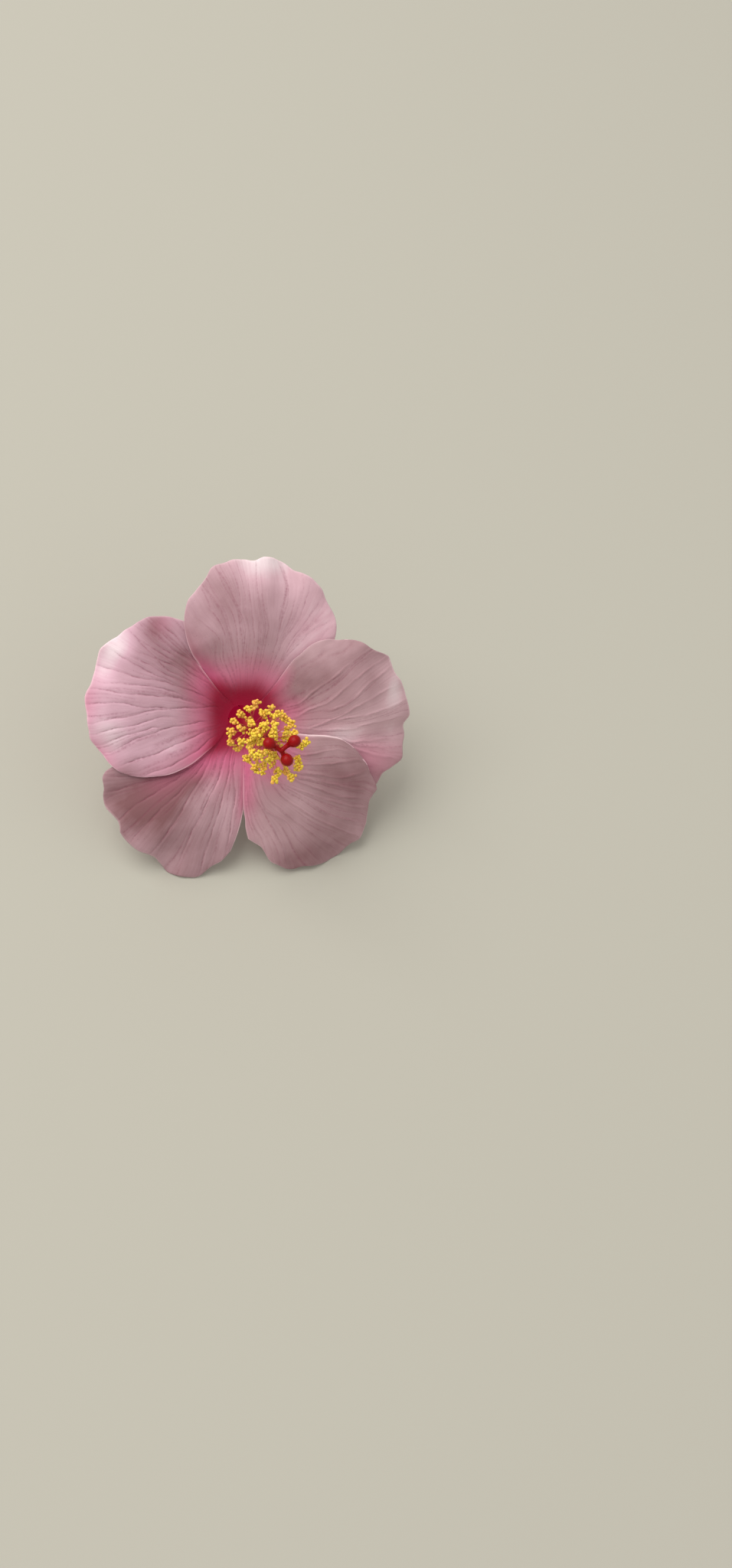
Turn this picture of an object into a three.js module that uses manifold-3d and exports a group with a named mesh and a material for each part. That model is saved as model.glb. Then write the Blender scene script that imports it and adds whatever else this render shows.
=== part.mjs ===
// A single hibiscus bloom, picked with a short stalk and lying face up on a surface.
// Millimetres and degrees, +Z up. The bloom is built round its own axis (+Z out of the throat,
// +Y towards the top petal) and then leaned over as a whole, to rest on the tips of its two
// lower petals and on the cut end of its stalk.
import * as THREE from "three";
import { mergeVertices } from "three/addons/utils/BufferGeometryUtils.js";
import Module from "manifold-3d";

const wasm = await Module();
wasm.setup();
const { Manifold, Mesh: SolidMesh } = wasm;

// ---------------------------------------------------------------- driving dimensions
// The corolla in section: distance along a petal from the foot of its claw, and the slope there.
const FUNNEL_SLOPE = [
  [0, 86], [14, 84], [20, 62], [26, 42], [33, 24], [42, 11], [52, 1], [64, -11], [76, -21], [92, -30],
];
const FUNNEL_STEP = 0.5;
const FUNNEL_LENGTH = 92;
const CLAW_RADIUS = 3.6;
const CLAW_FOOT = -16;
const PETAL_THICKNESS = 0.62;
const OVERLAP_LIFT = 0.9; // how far an overlapping margin stands above or below the funnel
const OVERLAP_STARTS = 5.5; // petals lie side by side up to here, and overlap further out
const OVERLAP_FULL = 10.5;

// Each petal: the margins on its right and left as [distance from axis, direction], the rim as
// [direction, distance from axis], the lift of each margin as [distance, share of OVERLAP_LIFT],
// and its own folds. Directions are degrees anticlockwise from +X, seen from the front.
const PETALS = [
  {
    name: "petal_top",
    right: [[3, 56], [8, 56], [11, 50], [16, 47], [24, 45], [34, 44], [45, 44.8]],
    left: [[3, 124], [8, 124], [11, 134], [17, 136], [23, 134], [27, 130.8], [32, 130], [36, 128.8],
      [42, 125.8], [45.5, 123.5]],
    rim: [[44.8, 45], [46.4, 47.2], [49, 49.8], [52.6, 52], [56.8, 53.8], [61.4, 56.5], [66, 58.3],
      [70, 59], [73.4, 59.6], [78.7, 61.8], [84.5, 61.7], [88.3, 60.1], [92, 60.2], [96.5, 60.3],
      [100.8, 59.7], [104.3, 59.2], [107, 56.7], [111.6, 53.9], [116.9, 51.7], [120.4, 48.8],
      [123.5, 45.5]],
    rightLift: [[0, -1], [60, -1]],
    leftLift: [[27, -1], [32, 1]],
    folds: [{ at: 84, width: 13, from: 46, depth: -3.5 }, { at: 108, width: 9, from: 44, depth: -1.5 }],
    colour: 0xc79aa4,
  },
  {
    name: "petal_upper_right",
    right: [[3, -16], [8, -16], [11, -20], [17, -24], [27, -27], [40, -28.5], [50, -28.3], [56.6, -27.2]],
    left: [[3, 52], [8, 52], [11, 56], [16, 57.4], [22, 58.4], [28, 57.9], [32, 55.7], [36.4, 53.8],
      [40, 51.2], [42.9, 47.8]],
    rim: [[-27.2, 56.6], [-23.6, 57.1], [-20.6, 57.3], [-17.3, 60], [-14, 62.6], [-10.2, 62.9],
      [-6, 63.9], [-1.9, 63], [1.3, 63.8], [5.6, 62.9], [9.1, 62.1], [13.8, 60.7], [17.2, 58.8],
      [20.4, 58], [24.5, 58.3], [26.9, 56.5], [30.5, 53.6], [35, 51.5], [39.3, 49.4], [43, 45.8],
      [47.8, 42.9]],
    rightLift: [[0, -1], [60, -1]],
    leftLift: [[0, 1], [60, 1]],
    folds: [{ at: 4, width: 12, from: 44, depth: -2.4 }, { at: -12, width: 8, from: 46, depth: 1.6 }],
    colour: 0xb78d94,
  },
  {
    name: "petal_lower_right",
    right: [[3, -88], [8, -89], [11, -96], [15, -97.2], [22.7, -95.9], [30.2, -94.3], [35, -92.4],
      [38.3, -91.7], [43, -89.9]],
    left: [[3, -20], [8, -20], [11, -14], [16, -12], [22.3, -10], [25.6, -8.6], [29.9, -8.1],
      [34.6, -8.9], [38.9, -12.6], [42.9, -16.7]],
    rim: [[-89.9, 43], [-86.9, 44.7], [-83, 47.5], [-80.6, 52.1], [-76.8, 55.3], [-72.4, 58.3],
      [-66.9, 59.1], [-61.9, 62], [-57.6, 63.8], [-53.8, 64.2], [-49.1, 63], [-45.6, 63.8],
      [-42.4, 63.4], [-37.3, 60.8], [-33, 56.6], [-30, 56.2], [-27.2, 56.6], [-24.6, 53.2],
      [-22, 50.2], [-19.8, 48.1], [-16.7, 42.9]],
    rightLift: [[12, 0.6], [60, 0.6]],
    leftLift: [[20, 1], [32, 1.9], [44, 1.9], [52, 1]],
    folds: [{ at: -50, width: 12, from: 46, depth: -2.6 }, { at: -66, width: 8, from: 44, depth: 1.4 }],
    colour: 0xb38a90,
  },
  {
    name: "petal_lower_left",
    right: [[3, -160], [8, -160], [11, -163], [17, -165], [30, -166], [42, -166.5], [52.4, -163.8]],
    left: [[3, -92], [8, -93], [11, -92], [15, -92.6], [24, -92.4], [31, -93.4], [37.4, -94.5],
      [43.1, -95.8], [48.4, -97.3]],
    rim: [[-163.8, 52.4], [-162.9, 55.1], [-161, 56.9], [-156.7, 58], [-153.6, 60], [-150, 60.7],
      [-146.5, 59.6], [-142.3, 59.6], [-139.8, 61], [-135.3, 61.3], [-130.3, 60.7], [-125.7, 59.9],
      [-121.4, 61.7], [-117.8, 63.6], [-115.1, 62.8], [-111.3, 61.7], [-107.1, 60.2], [-103.9, 55.6],
      [-100.3, 52.3], [-97.3, 48.4]],
    rightLift: [[0, -1], [60, -1]],
    leftLift: [[12, -0.65], [60, -0.65]],
    folds: [{ at: -126, width: 9, from: 44, depth: -2 }, { at: -142, width: 8, from: 46, depth: 1.6 }],
    colour: 0xa97f86,
  },
  {
    name: "petal_left",
    right: [[3, 128], [8, 128.6], [11, 131.6], [15, 131.8], [20, 132], [25, 132.4], [29, 132.8],
      [33, 130.5], [38, 124], [46.2, 122.9]],
    left: [[3, 196], [8, 197], [11, 207], [14.1, 210.3], [19.3, 211.2], [24.8, 211.9], [28.9, 211.3],
      [34.3, 209.7], [39.1, 207], [43.7, 204.4], [47.2, 201.7]],
    rim: [[122.9, 46.2], [124.1, 47.4], [126.6, 50.1], [129.9, 52.7], [133.3, 55.1], [136.9, 56.1],
      [141.6, 57.5], [145.8, 58.4], [150, 60.4], [154.1, 61.3], [158.5, 60.7], [163.3, 59.9],
      [167.6, 60.4], [170.1, 60.5], [174, 59.5], [177.9, 58.5], [183.8, 58], [187.3, 56.4],
      [191.1, 54.6], [195.2, 52.6], [198.2, 50.5], [201.7, 47.2]],
    rightLift: [[27, 1], [32, -1]],
    leftLift: [[0, 1], [60, 1]],
    folds: [{ at: 160, width: 14, from: 46, depth: -2.6 }, { at: 181, width: 9, from: 44, depth: 1.2 }],
    colour: 0xc298a3,
  },
];
const PETAL_COLUMNS = 20;
const PETAL_ROWS = [0, 0.12, 0.2, 0.27, 0.34, 0.42, 0.51, 0.62, 0.74, 0.87, 1];
const PILLOW = 1.4; // each petal's middle stands this far above the folds between petals
const RUFFLE = 1.1; // height of the waves along the rims
const RUFFLE_TURNS = [13, 22];

// Calyx: a green cup with five pointed lobes, close behind the petals' claws.
const CALYX_WALL = 0.9;
const CALYX_CLEARANCE = 0.4;
const CALYX_NOTCH = 15;
const CALYX_LOBE = 13;
const CALYX_COLUMNS_A_LOBE = 6;
const CALYX_ROWS = 5;
const CALYX_FLOOR_TOP = CLAW_FOOT - 0.35;
const CALYX_FLOOR_BOTTOM = CALYX_FLOOR_TOP - 1.1;

// Stalk, receptacle and the ring of narrow bracts.
const RECEPTACLE_TOP = CALYX_FLOOR_BOTTOM - 0.3;
const RECEPTACLE_RADIUS = 3.9;
const STALK_RADIUS = 1.5;
const STALK_END = -43;
const STALK_BEND = 3.4; // how far the cut end is bent away from the axis, towards the top petal
const BRACTS = 7;
const BRACT_WIDTH = 2.1;
const BRACT_THICKNESS = 0.7;
const BRACT_PATH = [[2.4, -19.4], [5.6, -19.6], [8.2, -17.6], [9.4, -13.6], [10, -8.6]];

// The column rises out of the throat and curves a little to the lower right.
const COLUMN_TOP = 45;
const COLUMN_BEND = 3.6; // sideways shift at BEND_HEIGHT
const BEND_HEIGHT = 50;
const BEND_HEADING = -38;
const COLUMN_WALL = [ // [height, outer radius, inner radius]
  [CLAW_FOOT, 2.95, 2.25], [-11, 2.95, 2.25], [-7, 1.9, 1.15], [0, 1.65, 0.95], [20, 1.5, 0.9],
  [36, 1.3, 0.85], [COLUMN_TOP, 1.15, 0.8],
];
const OVARY_RADIUS = 1.9;
const OVARY_TOP = -10.6;
const STYLE_RADIUS = 0.48;
const STYLE_FORK = 50;
// Stigma branches: [heading, height of the knob, sideways reach of the knob]
const STIGMAS = [[160, 52.6, 5.2], [40, 52.8, 5.3], [-62, 52.2, 4.2]];
const STIGMA_RADIUS = 2.3;

// Filaments: [height of the anther cluster, heading, reach from the column's middle]
const FILAMENTS = [
  [21, 93, 10], [28, 117, 11], [22, 62, 10], [25, 136, 10], [27, 154, 11.5], [27, 174, 11.5],
  [29, 158, 8.5], [34, 136, 8.5], [38, 129, 8], [44, 150, 8.5], [42, 118, 8], [46, 100, 8.5],
  [26, 33, 10.5], [42, 53, 9.5], [32, 12, 8], [30, -8, 10], [44, 34, 8], [45, 8, 10.5],
  [22, -140, 9.5], [34, -178, 9.5], [40, 175, 8.5], [45, -172, 9], [32, -132, 10], [27, -100, 9],
  [31, -91, 10.5], [38, -104, 11], [35, -80, 9], [28, -61, 9], [43, -83, 9.5], [46, -95, 11],
  [40, -62, 11.5], [46, -66, 11.5], [39, -35, 11.5], [44, -45, 11], [32, 96, 9], [37, 76, 8],
  [24, -162, 11],
];
const FILAMENT_RADIUS = 0.36;
const FILAMENT_RISE = 7; // a filament leaves the column this far below its anthers
const ANTHER_RADIUS = 0.75;
const ANTHERS_ROUND = 3; // round the one on the filament's tip
const CLUSTER_RADIUS = 1.06;
const SEED = 1;

// The pose: leaned back from upright about +X, rolled about +Y, and set down on z = 0 with the
// middle of the bloom's box over the origin.
const LEAN = 41.94;
const ROLL = 1.84;
const PLACE = [-2, 5.15, 30.77];

// ---------------------------------------------------------------- helpers
const radians = THREE.MathUtils.degToRad;

function seededRandom(seed) {
  let state = seed;
  return () => {
    state = (state * 1664525 + 1013904223) % 4294967296;
    return state / 4294967296;
  };
}

// Straight-line interpolation in a list of [x, y], held at its ends.
function linear(points, x) {
  if (x <= points[0][0]) return points[0][1];
  for (let i = 1; i < points.length; i += 1) {
    const [x0, y0] = points[i - 1];
    const [x1, y1] = points[i];
    if (x <= x1) return y0 + ((y1 - y0) * (x - x0)) / (x1 - x0);
  }
  return points[points.length - 1][1];
}

// A smooth curve through a list of [x, y]: cubic pieces whose slopes come from the neighbours.
function smooth(points, x) {
  const last = points.length - 1;
  if (x <= points[0][0]) return points[0][1];
  if (x >= points[last][0]) return points[last][1];
  let i = 0;
  while (x > points[i + 1][0]) i += 1;
  const slope = (k) => {
    const [xa, ya] = points[Math.max(k - 1, 0)];
    const [xb, yb] = points[Math.min(k + 1, last)];
    return (yb - ya) / (xb - xa);
  };
  const [x0, y0] = points[i];
  const [x1, y1] = points[i + 1];
  const width = x1 - x0;
  const t = (x - x0) / width;
  const a = y0 * (1 + 2 * t) * (1 - t) * (1 - t);
  const b = slope(i) * width * t * (1 - t) * (1 - t);
  const c = y1 * t * t * (3 - 2 * t);
  const d = slope(i + 1) * width * t * t * (t - 1);
  return a + b + c + d;
}

const ramp = (from, to, x) => THREE.MathUtils.smoothstep(x, from, to);

// The funnel's section, walked in short steps: distance along it, radius, height.
function walkFunnel() {
  const section = [[0, CLAW_RADIUS, CLAW_FOOT]];
  for (let s = FUNNEL_STEP; s <= FUNNEL_LENGTH; s += FUNNEL_STEP) {
    const [, r, z] = section[section.length - 1];
    const slope = radians(linear(FUNNEL_SLOPE, s - FUNNEL_STEP / 2));
    section.push([s, r + FUNNEL_STEP * Math.cos(slope), z + FUNNEL_STEP * Math.sin(slope)]);
  }
  return section;
}
const SECTION = walkFunnel();
const RADIUS_ALONG = SECTION.map(([s, r]) => [s, r]);
const HEIGHT_ALONG = SECTION.map(([s, , z]) => [s, z]);
const ALONG_AT_RADIUS = SECTION.map(([s, r]) => [r, s]);

// A point of the corolla, at a distance along the funnel, a direction, and a lift off its face.
function onFunnel(along, direction, lift) {
  const slope = radians(linear(FUNNEL_SLOPE, along));
  const r = linear(RADIUS_ALONG, along) - lift * Math.sin(slope);
  const z = linear(HEIGHT_ALONG, along) + lift * Math.cos(slope);
  return new THREE.Vector3(r * Math.cos(radians(direction)), r * Math.sin(radians(direction)), z);
}

// Waves and pillowing that all petals share, so that overlapping margins keep their distance.
function sharedRelief(r, direction) {
  const pillow = PILLOW * Math.cos(radians(5 * (direction - 90))) * ramp(14, 44, r);
  const [slow, quick] = RUFFLE_TURNS;
  const waves = Math.sin(radians(slow * direction)) + 0.6 * Math.sin(radians(quick * direction + 40));
  return pillow + RUFFLE * waves * ramp(40, 64, r);
}

// How far the column and all that it carries are shifted sideways at a height.
function columnShift(height) {
  const share = Math.max(0, (height - CLAW_FOOT) / (BEND_HEIGHT - CLAW_FOOT));
  const shift = COLUMN_BEND * share * share;
  return [shift * Math.cos(radians(BEND_HEADING)), shift * Math.sin(radians(BEND_HEADING))];
}

// Moves every vertex of a geometry sideways by what shiftAt says for its height.
function bent(geometry, shiftAt) {
  const position = geometry.getAttribute("position");
  for (let i = 0; i < position.count; i += 1) {
    const [dx, dy] = shiftAt(position.getZ(i));
    position.setXY(i, position.getX(i) + dx, position.getY(i) + dy);
  }
  return geometry;
}

// A turned solid about +Z from [radius, height] points.
function turned(profile, sides) {
  const points = profile.map(([r, z]) => new THREE.Vector2(r, z));
  return new THREE.LatheGeometry(points, sides).rotateX(Math.PI / 2);
}

function meshData(vertices, triangles) {
  const geometry = new THREE.BufferGeometry();
  geometry.setAttribute("position", new THREE.Float32BufferAttribute(vertices.flatMap((v) => v.toArray()), 3));
  geometry.setIndex(triangles);
  return geometry;
}

// A thin blade from its middle surface: both faces are split into the same triangles.
function blade(surface, columns, rows, thickness) {
  const step = 1e-3;
  const side = (offset) => {
    const face = [];
    for (const v of rows) {
      for (let i = 0; i <= columns; i += 1) {
        const u = i / columns;
        const u0 = Math.max(0, u - step);
        const u1 = Math.min(1, u + step);
        const v0 = Math.max(0, v - step);
        const v1 = Math.min(1, v + step);
        const across = surface(u1, v).sub(surface(u0, v));
        const along = surface(u, v1).sub(surface(u, v0));
        const normal = across.cross(along).normalize();
        face.push(surface(u, v).addScaledVector(normal, offset * thickness));
      }
    }
    return face;
  };
  const vertices = [...side(0.5), ...side(-0.5)];
  const wide = columns + 1;
  const back = wide * rows.length;
  const triangles = [];
  for (let j = 0; j < rows.length - 1; j += 1) {
    for (let i = 0; i < columns; i += 1) {
      const a = j * wide + i;
      const b = a + 1;
      const c = a + wide + 1;
      const d = a + wide;
      triangles.push(a, b, c, a, c, d);
      triangles.push(back + a, back + c, back + b, back + a, back + d, back + c);
    }
  }
  const rim = [];
  for (let i = 0; i < columns; i += 1) rim.push(i);
  for (let j = 0; j < rows.length - 1; j += 1) rim.push(j * wide + columns);
  for (let i = columns; i > 0; i -= 1) rim.push((rows.length - 1) * wide + i);
  for (let j = rows.length - 1; j > 0; j -= 1) rim.push(j * wide);
  rim.forEach((p, k) => {
    const q = rim[(k + 1) % rim.length];
    triangles.push(p, back + p, back + q, p, back + q, q);
  });
  return meshData(vertices, triangles);
}

function solidOf(geometry) {
  const bare = geometry.clone();
  bare.deleteAttribute("normal");
  bare.deleteAttribute("uv");
  const merged = mergeVertices(bare, 1e-4);
  const mesh = new SolidMesh({
    numProp: 3,
    vertProperties: new Float32Array(merged.getAttribute("position").array),
    triVerts: new Uint32Array(merged.getIndex().array),
  });
  return new Manifold(mesh);
}

// Several closed geometries joined into one body, with any pocket sealed between them filled.
function fused(geometries) {
  const joined = geometries.map(solidOf).reduce((whole, next) => whole.add(next));
  const largest = joined.decompose().reduce((best, next) => (next.volume() > best.volume() ? next : best));
  const { vertProperties, triVerts } = largest.getMesh();
  const geometry = new THREE.BufferGeometry();
  geometry.setAttribute("position", new THREE.BufferAttribute(new Float32Array(vertProperties), 3));
  geometry.setIndex(new THREE.BufferAttribute(new Uint32Array(triVerts), 1));
  return geometry;
}

function piece(name, geometry, colour, roughness) {
  geometry.computeVertexNormals();
  const material = new THREE.MeshStandardMaterial({ color: colour, roughness, metalness: 0 });
  const mesh = new THREE.Mesh(geometry, material);
  mesh.name = name;
  return mesh;
}

// ---------------------------------------------------------------- petals
function petalSurface(petal) {
  const alongAt = (radius) => linear(ALONG_AT_RADIUS, radius);
  const rightEnd = petal.rim[0];
  const leftEnd = petal.rim[petal.rim.length - 1];
  return (u, v) => {
    const rightRadius = linear(RADIUS_ALONG, v * alongAt(rightEnd[1]));
    const leftRadius = linear(RADIUS_ALONG, v * alongAt(leftEnd[1]));
    const right = smooth(petal.right, rightRadius);
    const left = smooth(petal.left, leftRadius);
    const direction = right + (left - right) * u;
    const rimDirection = rightEnd[0] + (leftEnd[0] - rightEnd[0]) * u;
    const reach = smooth(petal.rim, rimDirection);
    const along = v * alongAt(reach);
    const r = linear(RADIUS_ALONG, along);
    const margins =
      linear(petal.rightLift, r) * ramp(0.5, 0.85, 1 - u) + linear(petal.leftLift, r) * ramp(0.5, 0.85, u);
    let lift = OVERLAP_LIFT * margins * ramp(OVERLAP_STARTS, OVERLAP_FULL, r) + sharedRelief(r, direction);
    for (const fold of petal.folds) {
      const aside = (direction - fold.at) / fold.width;
      lift += fold.depth * Math.exp(-aside * aside) * ramp(fold.from, 64, r);
    }
    return onFunnel(along, direction, lift);
  };
}

function makePetal(petal) {
  const geometry = blade(petalSurface(petal), PETAL_COLUMNS, PETAL_ROWS, PETAL_THICKNESS);
  return piece(petal.name, geometry, petal.colour, 0.75);
}

// ---------------------------------------------------------------- calyx
function makeCalyx() {
  const columns = 5 * CALYX_COLUMNS_A_LOBE;
  const innerLift = (r) => -(PETAL_THICKNESS / 2 + CALYX_CLEARANCE + 1.1 * ramp(5, 9, r));
  const profileAt = (direction) => {
    const fromLobe = Math.abs(((((direction - 54) % 72) + 108) % 72) - 36);
    const top = CALYX_NOTCH + CALYX_LOBE * (1 - fromLobe / 36);
    const wall = (share, depth) => {
      const along = top * share;
      const lift = innerLift(linear(RADIUS_ALONG, along)) - depth;
      return onFunnel(along, direction, lift);
    };
    const outside = [];
    const inside = [];
    for (let k = 0; k <= CALYX_ROWS; k += 1) {
      const share = k / CALYX_ROWS;
      outside.push(wall(share, CALYX_WALL * (1 - 0.25 * share)));
      inside.push(wall(share, 0));
    }
    outside[0].z = CALYX_FLOOR_BOTTOM + 0.6;
    inside[0].z = CALYX_FLOOR_TOP;
    const heel = outside[0].clone().multiplyScalar(0.75);
    heel.z = CALYX_FLOOR_BOTTOM;
    return [heel, ...outside, ...inside.reverse()];
  };
  const vertices = [new THREE.Vector3(0, 0, CALYX_FLOOR_BOTTOM), new THREE.Vector3(0, 0, CALYX_FLOOR_TOP)];
  const profiles = [];
  for (let i = 0; i < columns; i += 1) {
    const start = vertices.length;
    const profile = profileAt((360 * i) / columns + 54);
    vertices.push(...profile);
    profiles.push({ start, count: profile.length });
  }
  const triangles = [];
  profiles.forEach(({ start, count }, i) => {
    const next = profiles[(i + 1) % columns].start;
    triangles.push(0, next, start);
    for (let k = 0; k < count - 1; k += 1) {
      triangles.push(start + k, next + k, next + k + 1, start + k, next + k + 1, start + k + 1);
    }
    triangles.push(start + count - 1, next + count - 1, 1);
  });
  return piece("calyx", meshData(vertices, triangles), 0x6f8a4a, 0.7);
}

// ---------------------------------------------------------------- stalk and bracts
function stalkShift(height) {
  const share = Math.max(0, (RECEPTACLE_TOP - height) / (RECEPTACLE_TOP - STALK_END));
  return [0, STALK_BEND * share * share];
}

function bractSurface(heading) {
  const path = new THREE.SplineCurve(BRACT_PATH.map(([r, z]) => new THREE.Vector2(r, z)));
  return (u, v) => {
    const { x: r, y: z } = path.getPoint(v);
    const width = BRACT_WIDTH * (0.75 + 0.5 * v) * Math.sqrt(Math.max(0.06, 1 - v ** 2.5));
    const across = (0.5 - u) * width;
    const hollow = 0.5 * (across / BRACT_WIDTH) ** 2;
    const point = new THREE.Vector3(r - hollow, across, z);
    return point.applyAxisAngle(new THREE.Vector3(0, 0, 1), radians(heading));
  };
}

function makeStalk() {
  const profile = [
    [0, STALK_END], [STALK_RADIUS + 0.1, STALK_END], [STALK_RADIUS, STALK_END + 5],
    [STALK_RADIUS, STALK_END + 13], [STALK_RADIUS + 0.1, RECEPTACLE_TOP - 6], [2.6, RECEPTACLE_TOP - 3.2],
    [RECEPTACLE_RADIUS, RECEPTACLE_TOP - 1.2], [RECEPTACLE_RADIUS - 0.3, RECEPTACLE_TOP],
    [0, RECEPTACLE_TOP],
  ];
  const parts = [bent(turned(profile, 14), stalkShift)];
  for (let i = 0; i < BRACTS; i += 1) {
    const heading = 18 + (360 * i) / BRACTS;
    parts.push(blade(bractSurface(heading), 2, [0, 0.25, 0.45, 0.65, 0.85, 1], BRACT_THICKNESS));
  }
  return piece("stalk_with_bracts", fused(parts), 0x5f7d3f, 0.65);
}

// ---------------------------------------------------------------- pistil
// A tapering limb between two points, with few sides.
function limb(from, to, startRadius, endRadius, sides) {
  const length = from.distanceTo(to);
  const geometry = new THREE.CylinderGeometry(endRadius, startRadius, length, sides, 1);
  const direction = to.clone().sub(from).normalize();
  const turn = new THREE.Quaternion().setFromUnitVectors(new THREE.Vector3(0, 1, 0), direction);
  const middle = from.clone().add(to).multiplyScalar(0.5);
  return geometry.applyQuaternion(turn).translate(middle.x, middle.y, middle.z);
}

function onColumn(height, heading, reach) {
  const [dx, dy] = columnShift(height);
  return new THREE.Vector3(
    dx + reach * Math.cos(radians(heading)), dy + reach * Math.sin(radians(heading)), height,
  );
}

function makePistil() {
  const profile = [
    [0, CLAW_FOOT], [1.3, CLAW_FOOT], [OVARY_RADIUS, CLAW_FOOT + 1.6], [OVARY_RADIUS - 0.15, CLAW_FOOT + 3.4],
    [0.9, OVARY_TOP - 0.6], [STYLE_RADIUS, OVARY_TOP + 1.4],
  ];
  for (let height = 0; height < STYLE_FORK; height += 8) profile.push([STYLE_RADIUS, height]);
  profile.push([STYLE_RADIUS, STYLE_FORK], [0, STYLE_FORK + 0.4]);
  const parts = [bent(turned(profile, 8), columnShift)];
  const fork = onColumn(STYLE_FORK - 0.6, 0, 0);
  for (const [heading, height, reach] of STIGMAS) {
    const knob = onColumn(height, heading, reach);
    parts.push(limb(fork, knob, 0.6, 1.0, 7));
    parts.push(new THREE.IcosahedronGeometry(STIGMA_RADIUS, 1).translate(knob.x, knob.y, knob.z));
  }
  return piece("pistil", fused(parts), 0x9c1216, 0.6);
}

// ---------------------------------------------------------------- staminal column
function makeColumn() {
  const random = seededRandom(SEED);
  const outer = COLUMN_WALL.map(([z, r]) => [r, z]);
  const inner = COLUMN_WALL.map(([z, , r]) => [r, z]).reverse();
  const parts = [bent(turned([...outer, ...inner, outer[0]], 10), columnShift)];
  for (const [height, heading, reach] of FILAMENTS) {
    const tip = onColumn(height, heading, reach);
    const wall = linear(COLUMN_WALL, height - FILAMENT_RISE);
    const root = onColumn(height - FILAMENT_RISE, heading, wall - 0.3);
    parts.push(limb(root, tip, FILAMENT_RADIUS, FILAMENT_RADIUS, 3));
    parts.push(new THREE.IcosahedronGeometry(ANTHER_RADIUS, 0).translate(tip.x, tip.y, tip.z));
    const start = 2 * Math.PI * random();
    for (let k = 0; k < ANTHERS_ROUND; k += 1) {
      const turn = start + (2 * Math.PI * k) / ANTHERS_ROUND;
      const rise = radians(60 * (random() - 0.5));
      const aside = new THREE.Vector3(
        Math.cos(turn) * Math.cos(rise), Math.sin(turn) * Math.cos(rise), Math.sin(rise),
      );
      const middle = tip.clone().addScaledVector(aside, CLUSTER_RADIUS);
      parts.push(new THREE.IcosahedronGeometry(ANTHER_RADIUS, 0).translate(middle.x, middle.y, middle.z));
    }
  }
  return piece("staminal_column", fused(parts), 0xe0c545, 0.8);
}

// ---------------------------------------------------------------- the bloom
const bloom = new THREE.Group();
for (const petal of PETALS) bloom.add(makePetal(petal));
bloom.add(makeCalyx(), makeStalk(), makePistil(), makeColumn());
bloom.rotation.set(radians(LEAN), radians(ROLL), 0, "YXZ");
bloom.position.set(...PLACE);

const hibiscus = new THREE.Group();
hibiscus.add(bloom);

export default hibiscus;
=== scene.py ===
import math
import random

import bpy
import numpy as np
from mathutils import Matrix, Vector


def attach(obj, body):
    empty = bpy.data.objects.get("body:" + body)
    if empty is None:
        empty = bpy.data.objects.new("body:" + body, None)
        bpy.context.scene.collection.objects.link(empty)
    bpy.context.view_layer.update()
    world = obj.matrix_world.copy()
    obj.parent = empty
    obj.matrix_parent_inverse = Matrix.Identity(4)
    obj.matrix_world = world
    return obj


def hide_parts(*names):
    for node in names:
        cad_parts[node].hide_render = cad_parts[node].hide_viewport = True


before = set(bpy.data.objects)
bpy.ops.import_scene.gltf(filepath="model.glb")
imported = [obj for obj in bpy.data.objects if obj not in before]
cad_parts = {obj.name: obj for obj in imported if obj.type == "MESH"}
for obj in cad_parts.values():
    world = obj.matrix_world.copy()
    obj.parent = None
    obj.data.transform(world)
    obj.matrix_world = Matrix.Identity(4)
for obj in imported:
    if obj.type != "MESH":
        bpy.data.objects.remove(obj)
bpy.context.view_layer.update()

# ---------- stalk and bracts
# The short green flower stalk, cut across at its end, swells into the receptacle that carries the
# bloom. A ring of seven narrow green bracts grows from the receptacle and hugs the calyx.
PER_METRE = 1000  # sizes are in millimetres, in the bloom's own frame: its throat faces up there
LEAN = math.radians(41.94)  # the bloom leans back from upright by this much, and rolls by this
ROLL = math.radians(1.84)
PLACE = np.array([-2, 5.15, 30.77])
lean = np.array([
    [1, 0, 0],
    [0, math.cos(LEAN), -math.sin(LEAN)],
    [0, math.sin(LEAN), math.cos(LEAN)],
])
roll = np.array([
    [math.cos(ROLL), 0, math.sin(ROLL)],
    [0, 1, 0],
    [-math.sin(ROLL), 0, math.cos(ROLL)],
])
BLOOM_TURN = roll @ lean


def placed(points):
    """Points in the bloom's own millimetres, put where the bloom lies, in metres."""
    return (np.asarray(points, float) @ BLOOM_TURN.T + PLACE) / PER_METRE


def bloom_points(piece):
    """The corners of a piece, back in the bloom's own millimetres."""
    return (np.array([v.co for v in piece.data.vertices]) * PER_METRE - PLACE) @ BLOOM_TURN


def linear(points, x):
    """Straight lines through a list of [x, y]."""
    table = np.array(points, float)
    return np.interp(x, table[:, 0], table[:, 1])


def radius_and_height(outline, share):
    """Both at a share of the way along an outline of [share, radius, height]."""
    return linear([row[:2] for row in outline], share), linear([row[::2] for row in outline], share)


def ramp(start, end, x):
    """0 up to the start and 1 beyond the end, with a soft rise between."""
    t = np.clip((np.asarray(x, float) - start) / (end - start), 0, 1)
    return t * t * (3 - 2 * t)


def laid_sheet(name, columns, rows, surface):
    """A grid primitive of columns by rows quads, laid on surface(u, v)."""
    bpy.ops.object.select_all(action="DESELECT")
    bpy.ops.mesh.primitive_grid_add(x_subdivisions=columns, y_subdivisions=rows, size=1)
    sheet = bpy.context.object
    sheet.name = name
    corners = np.empty(len(sheet.data.vertices) * 3)
    sheet.data.vertices.foreach_get("co", corners)
    u, v = corners.reshape(-1, 3)[:, 0] + 0.5, corners.reshape(-1, 3)[:, 1] + 0.5
    sheet.data.vertices.foreach_set("co", placed(surface(u, v)).ravel())
    sheet.data.update()
    return sheet


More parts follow.
